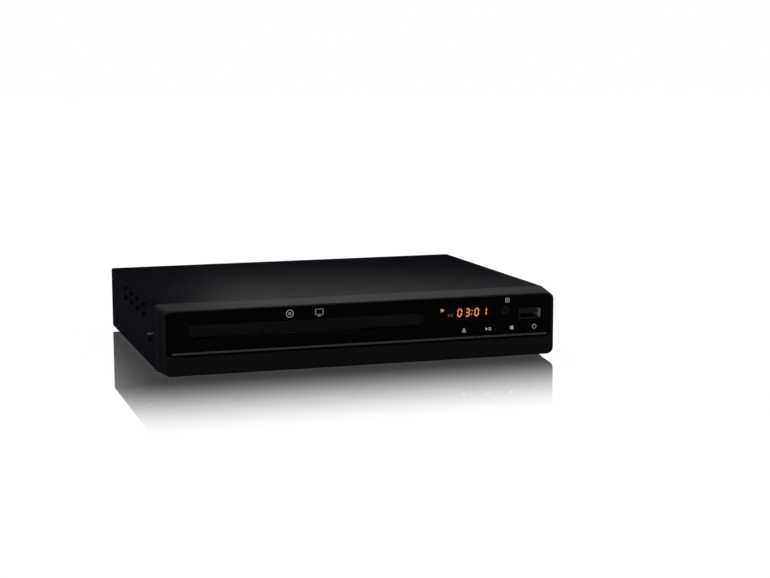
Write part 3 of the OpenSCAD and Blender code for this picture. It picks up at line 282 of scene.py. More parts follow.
def edge_group():
    """1 on edges and 0 on flat faces, from how far a rounded normal turns away from the face's own."""
    flat_from, edge_from = 0.99, 0.80
    group = bpy.data.node_groups.new("edge wear and painted highlight", "ShaderNodeTree")
    group.interface.new_socket("Radius", in_out="INPUT", socket_type="NodeSocketFloat").default_value = 0.0004
    group.interface.new_socket("Mask", in_out="OUTPUT", socket_type="NodeSocketFloat")
    given = group.nodes.new("NodeGroupInput")
    put = group.nodes.new("NodeGroupOutput")
    rounded = node(group, "ShaderNodeBevel", {"samples": 4}, Radius=given.outputs[0])
    flat = node(group, "ShaderNodeNewGeometry").outputs["True Normal"]
    match = node(group, "ShaderNodeVectorMath", {"operation": "DOT_PRODUCT"}, i0=rounded.outputs[0], i1=flat)
    group.links.new(ranged(group, match.outputs["Value"], flat_from, edge_from, 0.0, 1.0), put.inputs[0])
    return group


grain_nodes = grain_group()
edge_nodes = edge_group()
# The reach of the edges' paler colour, partly wear and partly a painted highlight
wear_highlight_radius = 0.0003
mottle_low, mottle_high = 0.3, 0.7


def mixed_colour(tree, share, first, second):
    """A colour between two, each a socket or three numbers."""
    ends = [c if isinstance(c, bpy.types.NodeSocket) else (*c, 1) for c in (first, second)]
    return node(tree, "ShaderNodeMix", {"data_type": "RGBA"}, i0=share, i6=ends[0], i7=ends[1]).outputs[2]


def surface(tree, **values):
    """The finish's one shader, which takes its sockets by name, and its output."""
    shader = node(tree, "ShaderNodeBsdfPrincipled", **values)
    node(tree, "ShaderNodeOutputMaterial", Surface=shader.outputs[0])


def relief(tree, height, depth):
    return node(tree, "ShaderNodeBump", Strength=1.0, Distance=depth, Height=height).outputs[0]


def finish(name, colour, rough, metal=0.0, grain=900.0, bump=0.00001, mottle=0.08, wear_highlight_colour=None, wear_highlight_share=0.5,
           specular=0.5, mottle_scale=18.0, shift=0.15):
    """A moulded, coated or plated finish: its colour shifts slowly, and its worn edges get a painted
    highlight.
    bump is the depth of its grain in metres; the colour given for the edges is their wear and painted
    highlight."""
    material, tree = new_material(name)
    grains = node(tree, "ShaderNodeGroup", {"node_tree": grain_nodes},
                  Grain_Scale=grain, Mottle_Scale=mottle_scale)
    edges = node(tree, "ShaderNodeGroup", {"node_tree": edge_nodes}, Radius=wear_highlight_radius)
    slow = grains.outputs["Mottle"]
    darker = tuple(c * (1 - shift) for c in colour)
    paler = tuple(min(1.0, c * (1 + shift)) for c in colour)
    wear_highlight_tone = wear_highlight_colour or tuple(min(1.0, c * 1.6 + 0.004) for c in colour)
    # Edges take the paler colour: wear, and a painted highlight
    wear_highlight_mask = maths(tree, "MULTIPLY", edges.outputs[0], wear_highlight_share)
    surface(tree,
            Base_Color=mixed_colour(tree, wear_highlight_mask, mixed_colour(tree, slow, darker, paler), wear_highlight_tone),
            Metallic=metal,
            Roughness=ranged(tree, slow, mottle_low, mottle_high, rough - mottle, rough + mottle),
            Normal=relief(tree, grains.outputs["Height"], bump),
            Specular_IOR_Level=specular)
    return material


def paint(names, material):
    for name in [names] if isinstance(names, str) else names:
        data = frame["nodes"][name].data
        data.materials.clear()
        data.materials.append(material)


def dress(name, edge, material, segments=2, sharp=35, edge_finish=None):
    """The CAD node's own shape, merged, its sharp edges rounded off as a mould or a deburring leaves them.
    edge is the rounding in mm, sharp the least angle in degrees that gets it."""
    welded, flat = 0.000002, 0.4
    source = frame["nodes"][name]
    shell = bmesh.new()
    shell.from_mesh(source.data)
    bmesh.ops.remove_doubles(shell, verts=shell.verts, dist=welded)
    bmesh.ops.dissolve_limit(shell, angle_limit=math.radians(flat), verts=shell.verts, edges=shell.edges)
    for line in shell.edges:
        line.smooth = len(line.link_faces) == 2 and line.calc_face_angle(0) < math.radians(sharp)
    for face in shell.faces:
        face.smooth = True
    mesh = bpy.data.meshes.new(name + "_skin")
    shell.to_mesh(mesh)
    shell.free()
    piece = bpy.data.objects.new(name + "_skin", mesh)
    scene.collection.objects.link(piece)
    mesh.materials.append(material)
    if edge_finish:
        mesh.materials.append(edge_finish)
    rounding = piece.modifiers.new("edges", "BEVEL")
    rounding.width = edge / 1000
    rounding.segments = segments
    rounding.limit_method = "ANGLE"
    rounding.angle_limit = math.radians(sharp)
    rounding.harden_normals = True
    rounding.material = 1 if edge_finish else -1
    rounding.use_clamp_overlap = True
    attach(piece, source["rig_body"])
    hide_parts(name)
    return piece


foot_rubber = finish("black rubber", (0.02, 0.02, 0.02), 0.8, grain=1500.0, bump=0.00002)
dress("feet", 0.5, foot_rubber)

# ---- Base and rear panel ----
# A pan of zinc-coated steel sheet with pressed bosses, and a coated rear panel that closes the cover.
# The hot-dipped zinc shows its crystals, each a little paler or duller than the next.


def zinc_finish(name, crystal_scale, rough):
    material, tree = new_material(name)
    where = object_place(tree)
    crystals = node(tree, "ShaderNodeTexVoronoi", Vector=where, Scale=crystal_scale)
    streaks = node(tree, "ShaderNodeTexNoise", Vector=where, Scale=crystal_scale * 6, Detail=4.0)
    pick = node(tree, "ShaderNodeSeparateColor", i0=crystals.outputs["Color"])
    surface(tree,
            Base_Color=mixed_colour(tree, pick.outputs[0], (0.42, 0.43, 0.45), (0.66, 0.67, 0.69)),
            Metallic=1.0,
            Roughness=ranged(tree, pick.outputs[1], 0.0, 1.0, rough - 0.1, rough + 0.12),
            Normal=relief(tree, streaks.outputs[0], 0.000004))
    return material


zinc_sheet = zinc_finish("zinc sheet", 160.0, 0.38)
# The rear panel is painted paler than the cover, as painted light where the back lies in shade
rear_coat_painted_lighter = finish("rear panel coat, painted paler as light", (0.014, 0.0145, 0.016), 0.42, grain=1800.0, bump=0.000012, mottle=0.04)
paint("base_pan", zinc_sheet)
paint("rear_panel", rear_coat_painted_lighter)

# ---- Top cover ----
# One sheet of steel folded down at both sides, with pressed louvres, in satin black powder coat.
# Its rounded cut edges carry a painted highlight. Screws hold it at the sides and at the back.

black_coat = finish("black powder coat", (0.0042, 0.0056, 0.0086), 0.26, grain=2600.0, bump=0.000004,
                    mottle=0.008, specular=0.2)
# The paler coat on the rounded edges is a painted highlight
coat_edge_highlight = finish("painted highlight on the coat's edges", (0.055, 0.057, 0.062), 0.3, grain=2600.0, mottle=0.04,
                   specular=0.4)
dress("top_cover", 0.4, black_coat, segments=3, edge_finish=coat_edge_highlight)

# ---- Bezel ----
# The moulded front of the case, satin black, with a recess for the gloss fascia.
# Its rounded edges carry a painted highlight.

satin = finish("satin black moulding", (0.0085, 0.0085, 0.0100), 0.5, grain=2200.0, bump=0.000012,
               mottle=0.02, specular=0.16)
# The paler finish on the rounded edges is a painted highlight
satin_edge_highlight = finish("painted highlight on the moulding's edges", (0.042, 0.043, 0.046), 0.4, grain=2200.0, bump=0.000006,
                    mottle=0.04)
dress("bezel", 0.3, satin, segments=3, sharp=30, edge_finish=satin_edge_highlight)

# ---- Fascia ----
# A black plastic plate with a polished face, set into the bezel's recess.
# The tray, the display, the sensor and the port show through its openings.

gloss = finish("polished black", (0.0012, 0.0009, 0.0010), 0.06, grain=40.0, bump=0.0, mottle=0.02)
# The paler finish on the rounded edges of the plate and its openings is a painted highlight
gloss_edge_highlight = finish("painted highlight on the plate's edges", (0.011, 0.009, 0.009), 0.3, bump=0.000002, mottle=0.02)
dress("fascia", 0.2, gloss, edge_finish=gloss_edge_highlight)

# ---- Symbols on the fascia ----
# Pale ink, pad-printed on the fascia: the four symbols over the keys, and three plain pictograms.
# Over the tray stand a disc and a screen, and over the sensor's window a square.

ink = finish("pale ink", (0.60, 0.61, 0.62), 0.6, grain=3000.0, bump=0.000002, mottle=0.05)
ink_y = 0.06
symbol_z = 18.65
eject_x, play_x, stop_x, power_x = 57.87, 72.4, 86.76, 100.5


def arc_points(x, z, r, start, sweep, steps):
    """Points on an arc, from an angle in degrees and through a sweep."""
    angles = [math.radians(start + sweep * i / steps) for i in range(steps + 1)]
    return [(x + r * math.cos(a), z + r * math.sin(a)) for a in angles]


def disc_points(x, z, r, count=32):
    return arc_points(x, z, r, 0.0, 360.0, count)[:-1]


def bar_shape(x0, x1, z0, z1):
    return [(x0, z0), (x1, z0), (x1, z1), (x0, z1)]


def outline_ring(points, width):
    """A closed band of the given width inside a ring of points round a middle."""
    middle = Vector((sum(p[0] for p in points) / len(points), sum(p[1] for p in points) / len(points)))
    radius = min((Vector(p) - middle).length for p in points)
    inner = [tuple(middle + (Vector(p) - middle) * (1 - width / radius)) for p in points]
    return points, inner


def drawn_at(x, z, shapes):
    """Shapes drawn round a middle, moved to x and z."""
    return [[(x + p[0], z + p[1]) for p in shape] for shape in shapes]


def printed(name, shapes, depth_y=ink_y, thick=0.03, material=ink):
    """Flat shapes in x and z, in mm; each is a list of corners, or a pair of rings for a band."""
    verts, faces = [], []
    for shape in shapes:
        band = len(shape) == 2 and isinstance(shape[0], list)
        rings = shape if band else [shape]
        for y in (depth_y, depth_y + thick):
            for ring in rings:
                verts += [place(p[0], y, p[1]) for p in ring]
        n = len(rings[0])
        start = len(verts) - 2 * n * len(rings)
        if band:
            a, b, c, d = start, start + n, start + 2 * n, start + 3 * n
            for i in range(n):
                j = (i + 1) % n
                faces += [(a + i, a + j, b + j, b + i), (c + j, c + i, d + i, d + j),
                          (a + j, a + i, c + i, c + j), (b + i, b + j, d + j, d + i)]
        else:
            a, c = start, start + n
            faces += [tuple(range(a, a + n)), tuple(reversed(range(c, c + n)))]
            for i in range(n):
                j = (i + 1) % n
                faces.append((a + j, a + i, c + i, c + j))
    piece = add_mesh(name, (verts, [], faces))
    shell = bmesh.new()
    shell.from_mesh(piece.data)
    bmesh.ops.recalc_face_normals(shell, faces=shell.faces)
    shell.to_mesh(piece.data)
    shell.free()
    piece.data.materials.append(material)
    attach(piece, "chassis")
    return piece


eject = [[(-1.15, -0.35), (1.15, -0.35), (0.0, 1.3)], bar_shape(-1.15, 1.15, -1.25, -0.8)]
play = [[(-1.6, -0.9), (-0.1, 0.0), (-1.6, 0.9)],
        bar_shape(0.35, 0.8, -0.9, 0.9), bar_shape(1.2, 1.65, -0.9, 0.9)]
stop = [bar_shape(-1.0, 1.0, -1.0, 1.0)]
power_ring = arc_points(0.0, 0.0, 1.3, 120, 300, 24) + arc_points(0.0, 0.0, 1.0, 420, -300, 24)
power = [power_ring, bar_shape(-0.15, 0.15, 0.35, 1.55)]
key_marks = []
for x, shapes in ((eject_x, eject), (play_x, play), (stop_x, stop), (power_x, power)):
    key_marks += drawn_at(x, symbol_z, shapes)
printed("key_symbols", key_marks)

sensor_mark = [outline_ring(bar_shape(82.8, 85.2, 33.3, 35.7), 0.35), bar_shape(83.6, 84.4, 34.1, 34.9)]
disc_mark = [outline_ring(disc_points(-43.0, 33.2, r), 0.3) for r in (2.1, 0.8)]
screen_mark = [outline_ring(bar_shape(-28.6, -24.2, 31.9, 35.0), 0.3), bar_shape(-27.2, -25.6, 31.0, 31.4)]
printed("pictograms", sensor_mark + disc_mark + screen_mark)

# ---- Display ----
# A smoked lens set flush in the fascia, and behind it a module whose lit segments show a clock reading.
# The segments are a warm white in the middle and orange at the rim, and a painted red glow lies round them.

smoked, tree = new_material("smoked lens")
surface(tree, Base_Color=(0.002, 0.0015, 0.0015, 1), Roughness=0.05, Alpha=0.55)
dress("display_lens", 0.1, smoked)
paint("display_module", finish("module face", (0.002, 0.0015, 0.0015), 0.6))


def lit_finish(name, colour, strength):
    material, tree = new_material(name)
    drift = node(tree, "ShaderNodeTexNoise", Vector=object_place(tree), Scale=400.0)
    tint = mixed_colour(tree, drift.outputs[0], tuple(c * 0.7 for c in colour), colour)
    surface(tree, Base_Color=tint, Roughness=0.5, Emission_Color=tint, Emission_Strength=strength)
    return material


digit_h, digit_w, stroke, lean = 4.05, 2.1, 0.5, 0.09
digit_z = 26.3
lit_y = 2.06
segments = {"a": (0, 1, 1, 1), "b": (1, 1, 1, 0.5), "c": (1, 0.5, 1, 0), "d": (0, 0, 1, 0),
            "e": (0, 0.5, 0, 0), "f": (0, 1, 0, 0.5), "g": (0, 0.5, 1, 0.5)}
digit_segments = {"0": "abcdef", "1": "bc", "3": "abcdg"}
reading = [(54.75, "0"), (59.43, "3"), (64.98, "0"), (69.73, "1")]
colon = [(63.15, 27.3), (63.45, 29.3)]


def segment(x, z, ends, wide, gap):
    """One lit segment, a bar with pointed ends, leaning with the digit."""
    p = Vector((ends[0] * digit_w, ends[1] * digit_h))
    q = Vector((ends[2] * digit_w, ends[3] * digit_h))
    run = (q - p).normalized()
    across = Vector((-run.y, run.x)) * wide / 2
    p, q = p + run * gap, q - run * gap
    near, far = p + run * wide / 2, q - run * wide / 2
    corners = [p, near - across, far - across, q, far + across, near + across]
    return [(x + c.x + c.y * lean, z + c.y) for c in corners]


def reading_shapes(wide, gap, dot):
    shapes = [segment(x, digit_z, segments[s], wide, gap)
              for x, digit in reading for s in digit_segments[digit]]
    return shapes + [disc_points(x, z, dot, 12) for x, z in colon]


amber_rim = lit_finish("amber rim", (1.0, 0.12, 0.02), 2.6)
amber_core = lit_finish("amber core", (1.0, 0.70, 0.36), 4.5)
pale_amber = lit_finish("pale amber", (1.0, 0.75, 0.35), 2.4)
dim_amber = lit_finish("dim amber", (1.0, 0.42, 0.36), 0.55)
printed("digit_rims", reading_shapes(stroke + 0.22, 0.12, 0.38), lit_y + 0.04, 0.06, amber_rim)
printed("digit_cores", reading_shapes(stroke - 0.10, 0.24, 0.24), lit_y - 0.02, 0.05, amber_core)
printed("play_mark", [[(44.7, 29.1), (47.0, 30.18), (44.7, 31.26)]], lit_y, 0.08, pale_amber)
printed("small_marks", [bar_shape(49.1, 50.1, 26.3, 27.8), bar_shape(50.9, 51.9, 26.3, 27.8)], lit_y, 0.08,
        dim_amber)

# The painted glow is a fine glowing sheet behind the segments, whose points hold how near a segment is
haze_step, haze_reach, haze_y = 0.3, 1.0, lit_y + 0.12
haze_x0, haze_x1, haze_z0, haze_z1 = 44.2, 75.8, 24.0, 33.0
play_middle = (45.6, 30.2)
columns = int((haze_x1 - haze_x0) / haze_step) + 1
rows = int((haze_z1 - haze_z0) / haze_step) + 1
middles = [(sum(c[0] for c in shape) / len(shape), sum(c[1] for c in shape) / len(shape))
           for shape in reading_shapes(stroke, 0.2, 0.3)] + [play_middle]
points, levels = [], []
for r in range(rows):
    for c in range(columns):
        x, z = haze_x0 + c * haze_step, haze_z0 + r * haze_step
        points.append(place(x, haze_y, z))
        levels.append(sum(math.exp(-((x - m[0]) ** 2 + (z - m[1]) ** 2) / haze_reach ** 2) for m in middles))
quads = [(r * columns + c, r * columns + c + 1, (r + 1) * columns + c + 1, (r + 1) * columns + c)
         for r in range(rows - 1) for c in range(columns - 1)]
haze = add_mesh("display_painted_glow", (points, [], quads))
haze.data.attributes.new("near_segment", "FLOAT", "POINT").data.foreach_set("value", levels)
# The sheet's red glow near the segments is painted light
painted_glow_red, tree = new_material("painted red glow")
nearness = node(tree, "ShaderNodeAttribute", {"attribute_name": "near_segment"}).outputs["Fac"]
surface(tree, Base_Color=(0.002, 0.0012, 0.0012, 1), Roughness=0.6, Emission_Strength=1.0,
        Emission_Color=mixed_colour(tree, nearness, (0.004, 0.0012, 0.001), (0.20, 0.014, 0.006)))
haze.data.materials.append(painted_glow_red)
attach(haze, "chassis")

# ---- Sensor, port and keys ----
# A dark window for the remote sensor, with a painted highlight on its rim, a plated port with its tongue,
# its plating painted near black as shade and its right wall painted pale as a highlight, and the bar and keys,
# whose upper part is painted pale grey as a highlight so that they read as one light line.

sensor_dark = finish("sensor resin", (0.004, 0.002, 0.0025), 0.12)
# The pale rim is a painted highlight on the window's rounded edge
sensor_rim_highlight = finish("painted highlight on the sensor's rim", (0.2, 0.2, 0.205), 0.4)
dress("ir_receiver", 0.3, sensor_dark, edge_finish=sensor_rim_highlight)

# The plating is painted near black as the shade inside the port's mouth
port_plating_shade = finish("port plating painted dark as shade", (0.012, 0.012, 0.0125), 0.5, bump=0.000002)
# The rim and the right wall are painted pale as highlights
port_rim_highlight = finish("painted highlight on the port's rim", (0.05, 0.05, 0.052), 0.4, bump=0.000002)
port_wall_highlight = finish("painted highlight on the port's right wall", (0.62, 0.62, 0.63), 0.45, bump=0.000002)
port = dress("usb_socket", 0.15, port_plating_shade, edge_finish=port_rim_highlight)
port.data.materials.append(port_wall_highlight)
# The mouth's right wall, painted pale as a highlight, lies beyond x 102 and within 8 mm of the front face
right_wall = place(102, 8, 0)
facing = 0.9
for face in port.data.polygons:
    if face.normal.x < -facing and face.center.x > right_wall.x and face.center.y < right_wall.y:
        face.material_index = 2


def highlight_painted_above(material, height, colour):
    """Paints a highlight over the finish above a height in mm."""
    soft = 0.05
    tree = material.node_tree
    base = next(n for n in tree.nodes if n.type == "BSDF_PRINCIPLED").inputs["Base Color"]
    under = base.links[0].from_socket
    height_here = node(tree, "ShaderNodeSeparateXYZ", i0=object_place(tree)).outputs["Z"]
    rise = ranged(tree, height_here, (height - soft) / 1000, (height + soft) / 1000, 0.0, 1.0)
    tree.links.new(mixed_colour(tree, rise, under, colour), base)


key_satin = finish("key moulding", (0.0016, 0.0016, 0.0018), 0.3, grain=2600.0, bump=0.000003, specular=0.3)
# The pale grey above 14 mm is a painted highlight along the top of the bar and the keys
highlight_painted_above(key_satin, 14.0, (0.055, 0.055, 0.056))
for name in ("key_trim", "key_eject", "key_play", "key_stop", "key_power"):
    dress(name, 0.3, key_satin, segments=3)

# ---- Tray ----
# A moulded tray with a round well that runs on the loader's rails.
# A cap with round ends closes its mouth in the fascia.

tray_black = finish("tray moulding", (0.011, 0.011, 0.012), 0.5, grain=1600.0, bump=0.00002)
dress("tray", 0.3, tray_black)
cap_satin = finish("cap moulding", (0.0062, 0.0050, 0.0053), 0.36, grain=2600.0, bump=0.000006)
dress("tray_cap", 0.8, cap_satin, segments=4)

# ---- Screws ----
# Pan-head steel screws with a cross recess, driven into the cover, the boards and the loader.
# Those outside are black zinc, paler on their edges and in the recess from wear and a painted highlight,
# and those inside bright zinc.

plated = finish("bright plating", (0.7, 0.7, 0.71), 0.2, metal=1.0, grain=500.0, bump=0.000002)
black_zinc = finish("black zinc", (0.10, 0.10, 0.105), 0.32, metal=1.0, grain=600.0, bump=0.000004,
                    wear_highlight_colour=(0.5, 0.5, 0.5), wear_highlight_share=0.6)
dress("cover_screws", 0.2, black_zinc)
paint(["board_screws", "loader_screws"], plated)

# ---- Loader ----
# A moulded frame with rails, a zinc bridge that carries the clamper, and a small motor in a drawn steel can.
# A rubber belt and acetal gears drive the tray: white, but for the black one behind the tray's mouth.

frame_plastic = finish("loader moulding", (0.02, 0.02, 0.022), 0.5, grain=1200.0, bump=0.00002)
acetal = finish("white acetal", (0.72, 0.72, 0.69), 0.38, grain=1500.0, bump=0.000006, shift=0.05)
black_acetal = finish("black acetal", (0.011, 0.011, 0.012), 0.4, grain=1500.0, bump=0.000006)
motor_can = finish("drawn steel can", (0.62, 0.62, 0.63), 0.24, metal=1.0, grain=700.0, bump=0.000003,
                   mottle=0.06, mottle_scale=90.0)
belt_rubber = finish("belt rubber", (0.012, 0.012, 0.012), 0.7, grain=2200.0)
paint(["loader_frame", "lift_frame"], frame_plastic)
paint("drive_gear", black_acetal)
paint(["motor_pulley", "pulley_gear", "cam_slider", "sled_pinion", "sled_gear",
       "stem_eject", "stem_play", "stem_stop", "stem_power"], acetal)
dress("clamper", 0.2, acetal)
paint("clamp_bridge", zinc_sheet)
paint("loading_motor", motor_can)
paint("loading_belt", belt_rubber)

# ---- Traverse ----
# A zinc deck on soft dampers carries the spindle motor, the turntable with its rubber ring, and the pickup on
# two ground steel rods. The pickup's body is die-cast, and its lens sits in a black holder.

deck_zinc = zinc_finish("plated deck", 420.0, 0.3)
ground_steel = finish("ground steel", (0.6, 0.6, 0.61), 0.14, metal=1.0, grain=1800.0, bump=0.000001,
                      mottle=0.03)
die_cast = finish("die-cast body", (0.33, 0.33, 0.34), 0.5, metal=1.0, bump=0.00002)
holder_black = finish("lens holder moulding", (0.012, 0.012, 0.013), 0.4, grain=2400.0, bump=0.000008)
damper_rubber = finish("soft damper rubber", (0.09, 0.03, 0.02), 0.75, grain=1500.0, bump=0.00002)
paint("traverse_deck", deck_zinc)
paint(["spindle_motor", "sled_motor"], motor_can)
paint("guide_rods", ground_steel)
paint("dampers", damper_rubber)
paint("pickup_sled", die_cast)
paint("lens_holder", holder_black)

# The turntable's cone stands above its platter, whose top is the rubber ring
cone_h = 2.0
near_platter = 0.0002
turntable = dress("turntable", 0.2, frame_plastic)
turntable.data.materials.append(belt_rubber)
platter_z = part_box("turntable")[1].z - cone_h / 1000
for face in turntable.data.polygons:
    if face.normal.z > facing and abs(face.center.z - platter_z) < near_platter:
        face.material_index = 1

glass, tree = new_material("lens glass")
bloom = node(tree, "ShaderNodeTexNoise", Vector=object_place(tree), Scale=300.0)
surface(tree, Base_Color=mixed_colour(tree, bloom.outputs[0], (0.62, 0.76, 1.0), (0.86, 0.92, 1.0)),
        Roughness=0.02, IOR=1.5, Transmission_Weight=1.0)
paint("pickup_lens", glass)

# ---- Boards ----
# Green glass-fibre boards with their tracks under the resist, and a tan paper board for the mains side.
# The tracks run in blocks of parallel lines, some along and some across.


def board_finish(name, resist, track, rough):
    tracks_per_metre, track_from, turned_from, bare_below = 790.0, 0.55, 0.5, 0.3
    material, tree = new_material(name)
    where = object_place(tree)
    parts = node(tree, "ShaderNodeSeparateXYZ", i0=where)
    across = maths(tree, "ADD", parts.outputs["Y"], parts.outputs["Z"])
    lines = []
    for run in (parts.outputs["X"], across):
        steps = maths(tree, "FRACT", maths(tree, "MULTIPLY", run, tracks_per_metre))
        lines.append(maths(tree, "GREATER_THAN", steps, track_from))
    blocks = node(tree, "ShaderNodeTexVoronoi", {"distance": "CHEBYCHEV"}, Vector=where, Scale=110.0)
    pick = node(tree, "ShaderNodeSeparateColor", i0=blocks.outputs["Color"])
    turned = maths(tree, "GREATER_THAN", pick.outputs[0], turned_from)
    used = maths(tree, "GREATER_THAN", pick.outputs[1], bare_below)
    line = node(tree, "ShaderNodeMix", i0=turned, i2=lines[0], i3=lines[1]).outputs[0]
    tracks = maths(tree, "MULTIPLY", line, used)
    drift = node(tree, "ShaderNodeTexNoise", Vector=where, Scale=220.0, Detail=3.0).outputs[0]
    surface(tree,
            Base_Color=mixed_colour(tree, tracks, resist, track),
            Roughness=ranged(tree, drift, mottle_low, mottle_high, rough - 0.08, rough + 0.08),
            Normal=relief(tree, tracks, 0.00004))
    return material


green_board = board_finish("green solder resist", (0.012, 0.10, 0.04), (0.03, 0.19, 0.07), 0.3)
tan_board = board_finish("tan paper board", (0.42, 0.26, 0.11), (0.50, 0.33, 0.16), 0.5)
chip_black = finish("moulded chips", (0.02, 0.02, 0.021), 0.55, grain=3000.0)
paint(["front_board", "main_board"], green_board)
paint("power_board", tan_board)
paint(["board_chips", "key_switches"], chip_black)

# ---- Small parts on the boards ----
# Chip resistors and capacitors with tinned ends, soldered on a 1.27 mm grid, and the rows of tinned legs
# along the chips. On the power board stand small moulded parts.


def box_tree():
    """Puts one small box on each point of a mesh, turned a quarter where the point says so."""
    tree = bpy.data.node_groups.new("small parts", "GeometryNodeTree")
    for name, kind in (("Geometry", "Geometry"), ("Size", "Vector"), ("Material", "Material")):
        tree.interface.new_socket(name, in_out="INPUT", socket_type="NodeSocket" + kind)
    tree.interface.new_socket("Geometry", in_out="OUTPUT", socket_type="NodeSocketGeometry")
    given = tree.nodes.new("NodeGroupInput")
    put = tree.nodes.new("NodeGroupOutput")
    box = node(tree, "GeometryNodeMeshCube", Size=given.outputs["Size"])
    turned = node(tree, "GeometryNodeInputNamedAttribute", {"data_type": "FLOAT"}, Name="turned")
    angle = maths(tree, "MULTIPLY", turned.outputs[0], math.pi / 2)
    angles = node(tree, "ShaderNodeCombineXYZ", i2=angle)
    turn = node(tree, "FunctionNodeEulerToRotation", i0=angles.outputs[0])
    placed = node(tree, "GeometryNodeInstanceOnPoints", Points=given.outputs["Geometry"],
                  Instance=box.outputs["Mesh"], Rotation=turn.outputs[0])
    plain = node(tree, "GeometryNodeRealizeInstances", Geometry=placed.outputs[0])
    painted = node(tree, "GeometryNodeSetMaterial",
                   Geometry=plain.outputs[0], Material=given.outputs["Material"])
    tree.links.new(painted.outputs[0], put.inputs[0])
    return tree


part_tree = box_tree()
part_inputs = {item.name: item.identifier
               for item in part_tree.interface.items_tree if item.in_out == "INPUT"}


def small_parts(name, places, size, material):
    """Like parts soldered at places (x, y, z, turned) in mm; size is length, depth and height."""
    piece = add_mesh(name, ([place(x, y, z + size[2] / 2) for x, y, z, turned in places], [], []))
    turns = [float(p[3]) for p in places]
    piece.data.attributes.new("turned", "FLOAT", "POINT").data.foreach_set("value", turns)
    made = piece.modifiers.new("parts", "NODES")
    made.node_group = part_tree
    made[part_inputs["Size"]] = [v / 1000 for v in size]
    made[part_inputs["Material"]] = material
    depsgraph = bpy.context.evaluated_depsgraph_get()
    plain = bpy.data.meshes.new_from_object(piece.evaluated_get(depsgraph))
    piece.modifiers.remove(made)
    piece.data = plain
    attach(piece, "chassis")


board_z = 9.6
grid, apart = 1.27, 2.6


def clear_places(names, x0, x1, y0, y1, count, room, seed):
    """Places on a board's grid, in mm, that keep clear of what stands on it and of each other."""
    standing = []
    for name in names:
        data = frame["nodes"][name].data
        corners = [v.co for v in data.vertices]
        standing.append(BVHTree.FromPolygons(corners, [f.vertices[:] for f in data.polygons]))
    chance = random.Random(seed)
    found = []
    for attempt in range(count * 12):
        x = x0 + grid * chance.randrange(int((x1 - x0) / grid))
        y = y0 + grid * chance.randrange(int((y1 - y0) / grid))
        turned = chance.randrange(2)
        spot = place(x, y, board_z)
        if any(t.find_nearest(spot, room / 1000)[0] for t in standing):
            continue
        if any(abs(x - p[0]) < apart and abs(y - p[1]) < apart for p in found):
            continue
        found.append((x, y, board_z, turned))
        if len(found) == count:
            break
    return found


crowd = ["board_chips", "board_screws", "rca_jacks", "hdmi_socket", "front_cable", "power_harness"]
spots = clear_places(crowd, x0=50.5, x1=108.0, y0=87.0, y1=163.0, count=90, room=2.2, seed=11)
dark_body = finish("resistor body", (0.015, 0.015, 0.016), 0.45, grain=3000.0, bump=0.000004)
tan_body = finish("ceramic body", (0.40, 0.27, 0.15), 0.5, grain=3000.0, bump=0.000004)
tinned = finish("tinned ends", (0.66, 0.66, 0.64), 0.3, metal=1.0, grain=2000.0, bump=0.000004)
small_parts("chip_resistors", spots[0::2], (1.2, 1.2, 0.5), dark_body)
small_parts("chip_capacitors", spots[1::2], (1.2, 1.2, 0.8), tan_body)
to_end = 0.78
ends = []
for x, y, z, turned in spots:
    for step in (-to_end, to_end):
        ends.append((x, y + step, z, turned) if turned else (x + step, y, z, turned))
small_parts("part_ends", ends, (0.36, 1.24, 0.55), tinned)

# Each chip's corners and the pitch of its legs; the square one has legs on all four sides
chips = ((64, 84, 118, 138, 0.8), (90, 100, 116, 134, 1.0), (60, 66, 100, 105, 1.27))
leg_middle, bare_corner = 0.45, 0.6
legs = []
for x0, x1, y0, y1, pitch in chips:
    count = int((y1 - y0 - 2 * bare_corner) / pitch)
    steps = [(i - (count - 1) / 2) * pitch for i in range(count)]
    for y in [(y0 + y1) / 2 + step for step in steps]:
        legs += [(x0 - leg_middle, y, board_z, 0), (x1 + leg_middle, y, board_z, 0)]
    if x1 - x0 == y1 - y0:
        for x in [(x0 + x1) / 2 + step for step in steps]:
            legs += [(x, y0 - leg_middle, board_z, 1), (x, y1 + leg_middle, board_z, 1)]
small_parts("chip_legs", legs, (1.1, 0.34, 0.35), tinned)

power_crowd = ["transformer", "capacitors", "power_heatsink", "mains_inlet", "power_harness", "board_screws"]
power_spots = clear_places(power_crowd, x0=-100.0, x1=-8.0, y0=160.5, y1=174.0, count=22, room=2.6, seed=5)
small_parts("power_parts", power_spots, (3.2, 1.6, 1.5), tan_body)

# ---- Power parts ----
# A ferrite transformer whose winding is wrapped in yellow tape, sleeved capacitors with bare tops,
# an extruded aluminium heat sink and four wires to the main board.

coil_z0, coil_z1 = 13.6, 21.6
winding, tree = new_material("core and taped winding")
where = object_place(tree)
height_here = node(tree, "ShaderNodeSeparateXYZ", i0=where).outputs["Z"]
coil = maths(tree, "MULTIPLY", maths(tree, "GREATER_THAN", height_here, coil_z0 / 1000),
             maths(tree, "LESS_THAN", height_here, coil_z1 / 1000))
laps = node(tree, "ShaderNodeTexWave", {"bands_direction": "Z"}, Vector=where, Scale=120.0, Distortion=0.6)
tape = mixed_colour(tree, laps.outputs["Fac"], (0.46, 0.30, 0.03), (0.66, 0.46, 0.07))
ferrite_grain = node(tree, "ShaderNodeTexNoise", Vector=where, Scale=1500.0, Detail=3.0).outputs[0]
ferrite = mixed_colour(tree, ferrite_grain, (0.018, 0.018, 0.019), (0.045, 0.045, 0.047))
surface(tree, Base_Color=mixed_colour(tree, coil, ferrite, tape),
        Roughness=ranged(tree, coil, 0.0, 1.0, 0.6, 0.35), Normal=relief(tree, laps.outputs["Fac"], 0.00004))
paint("transformer", winding)

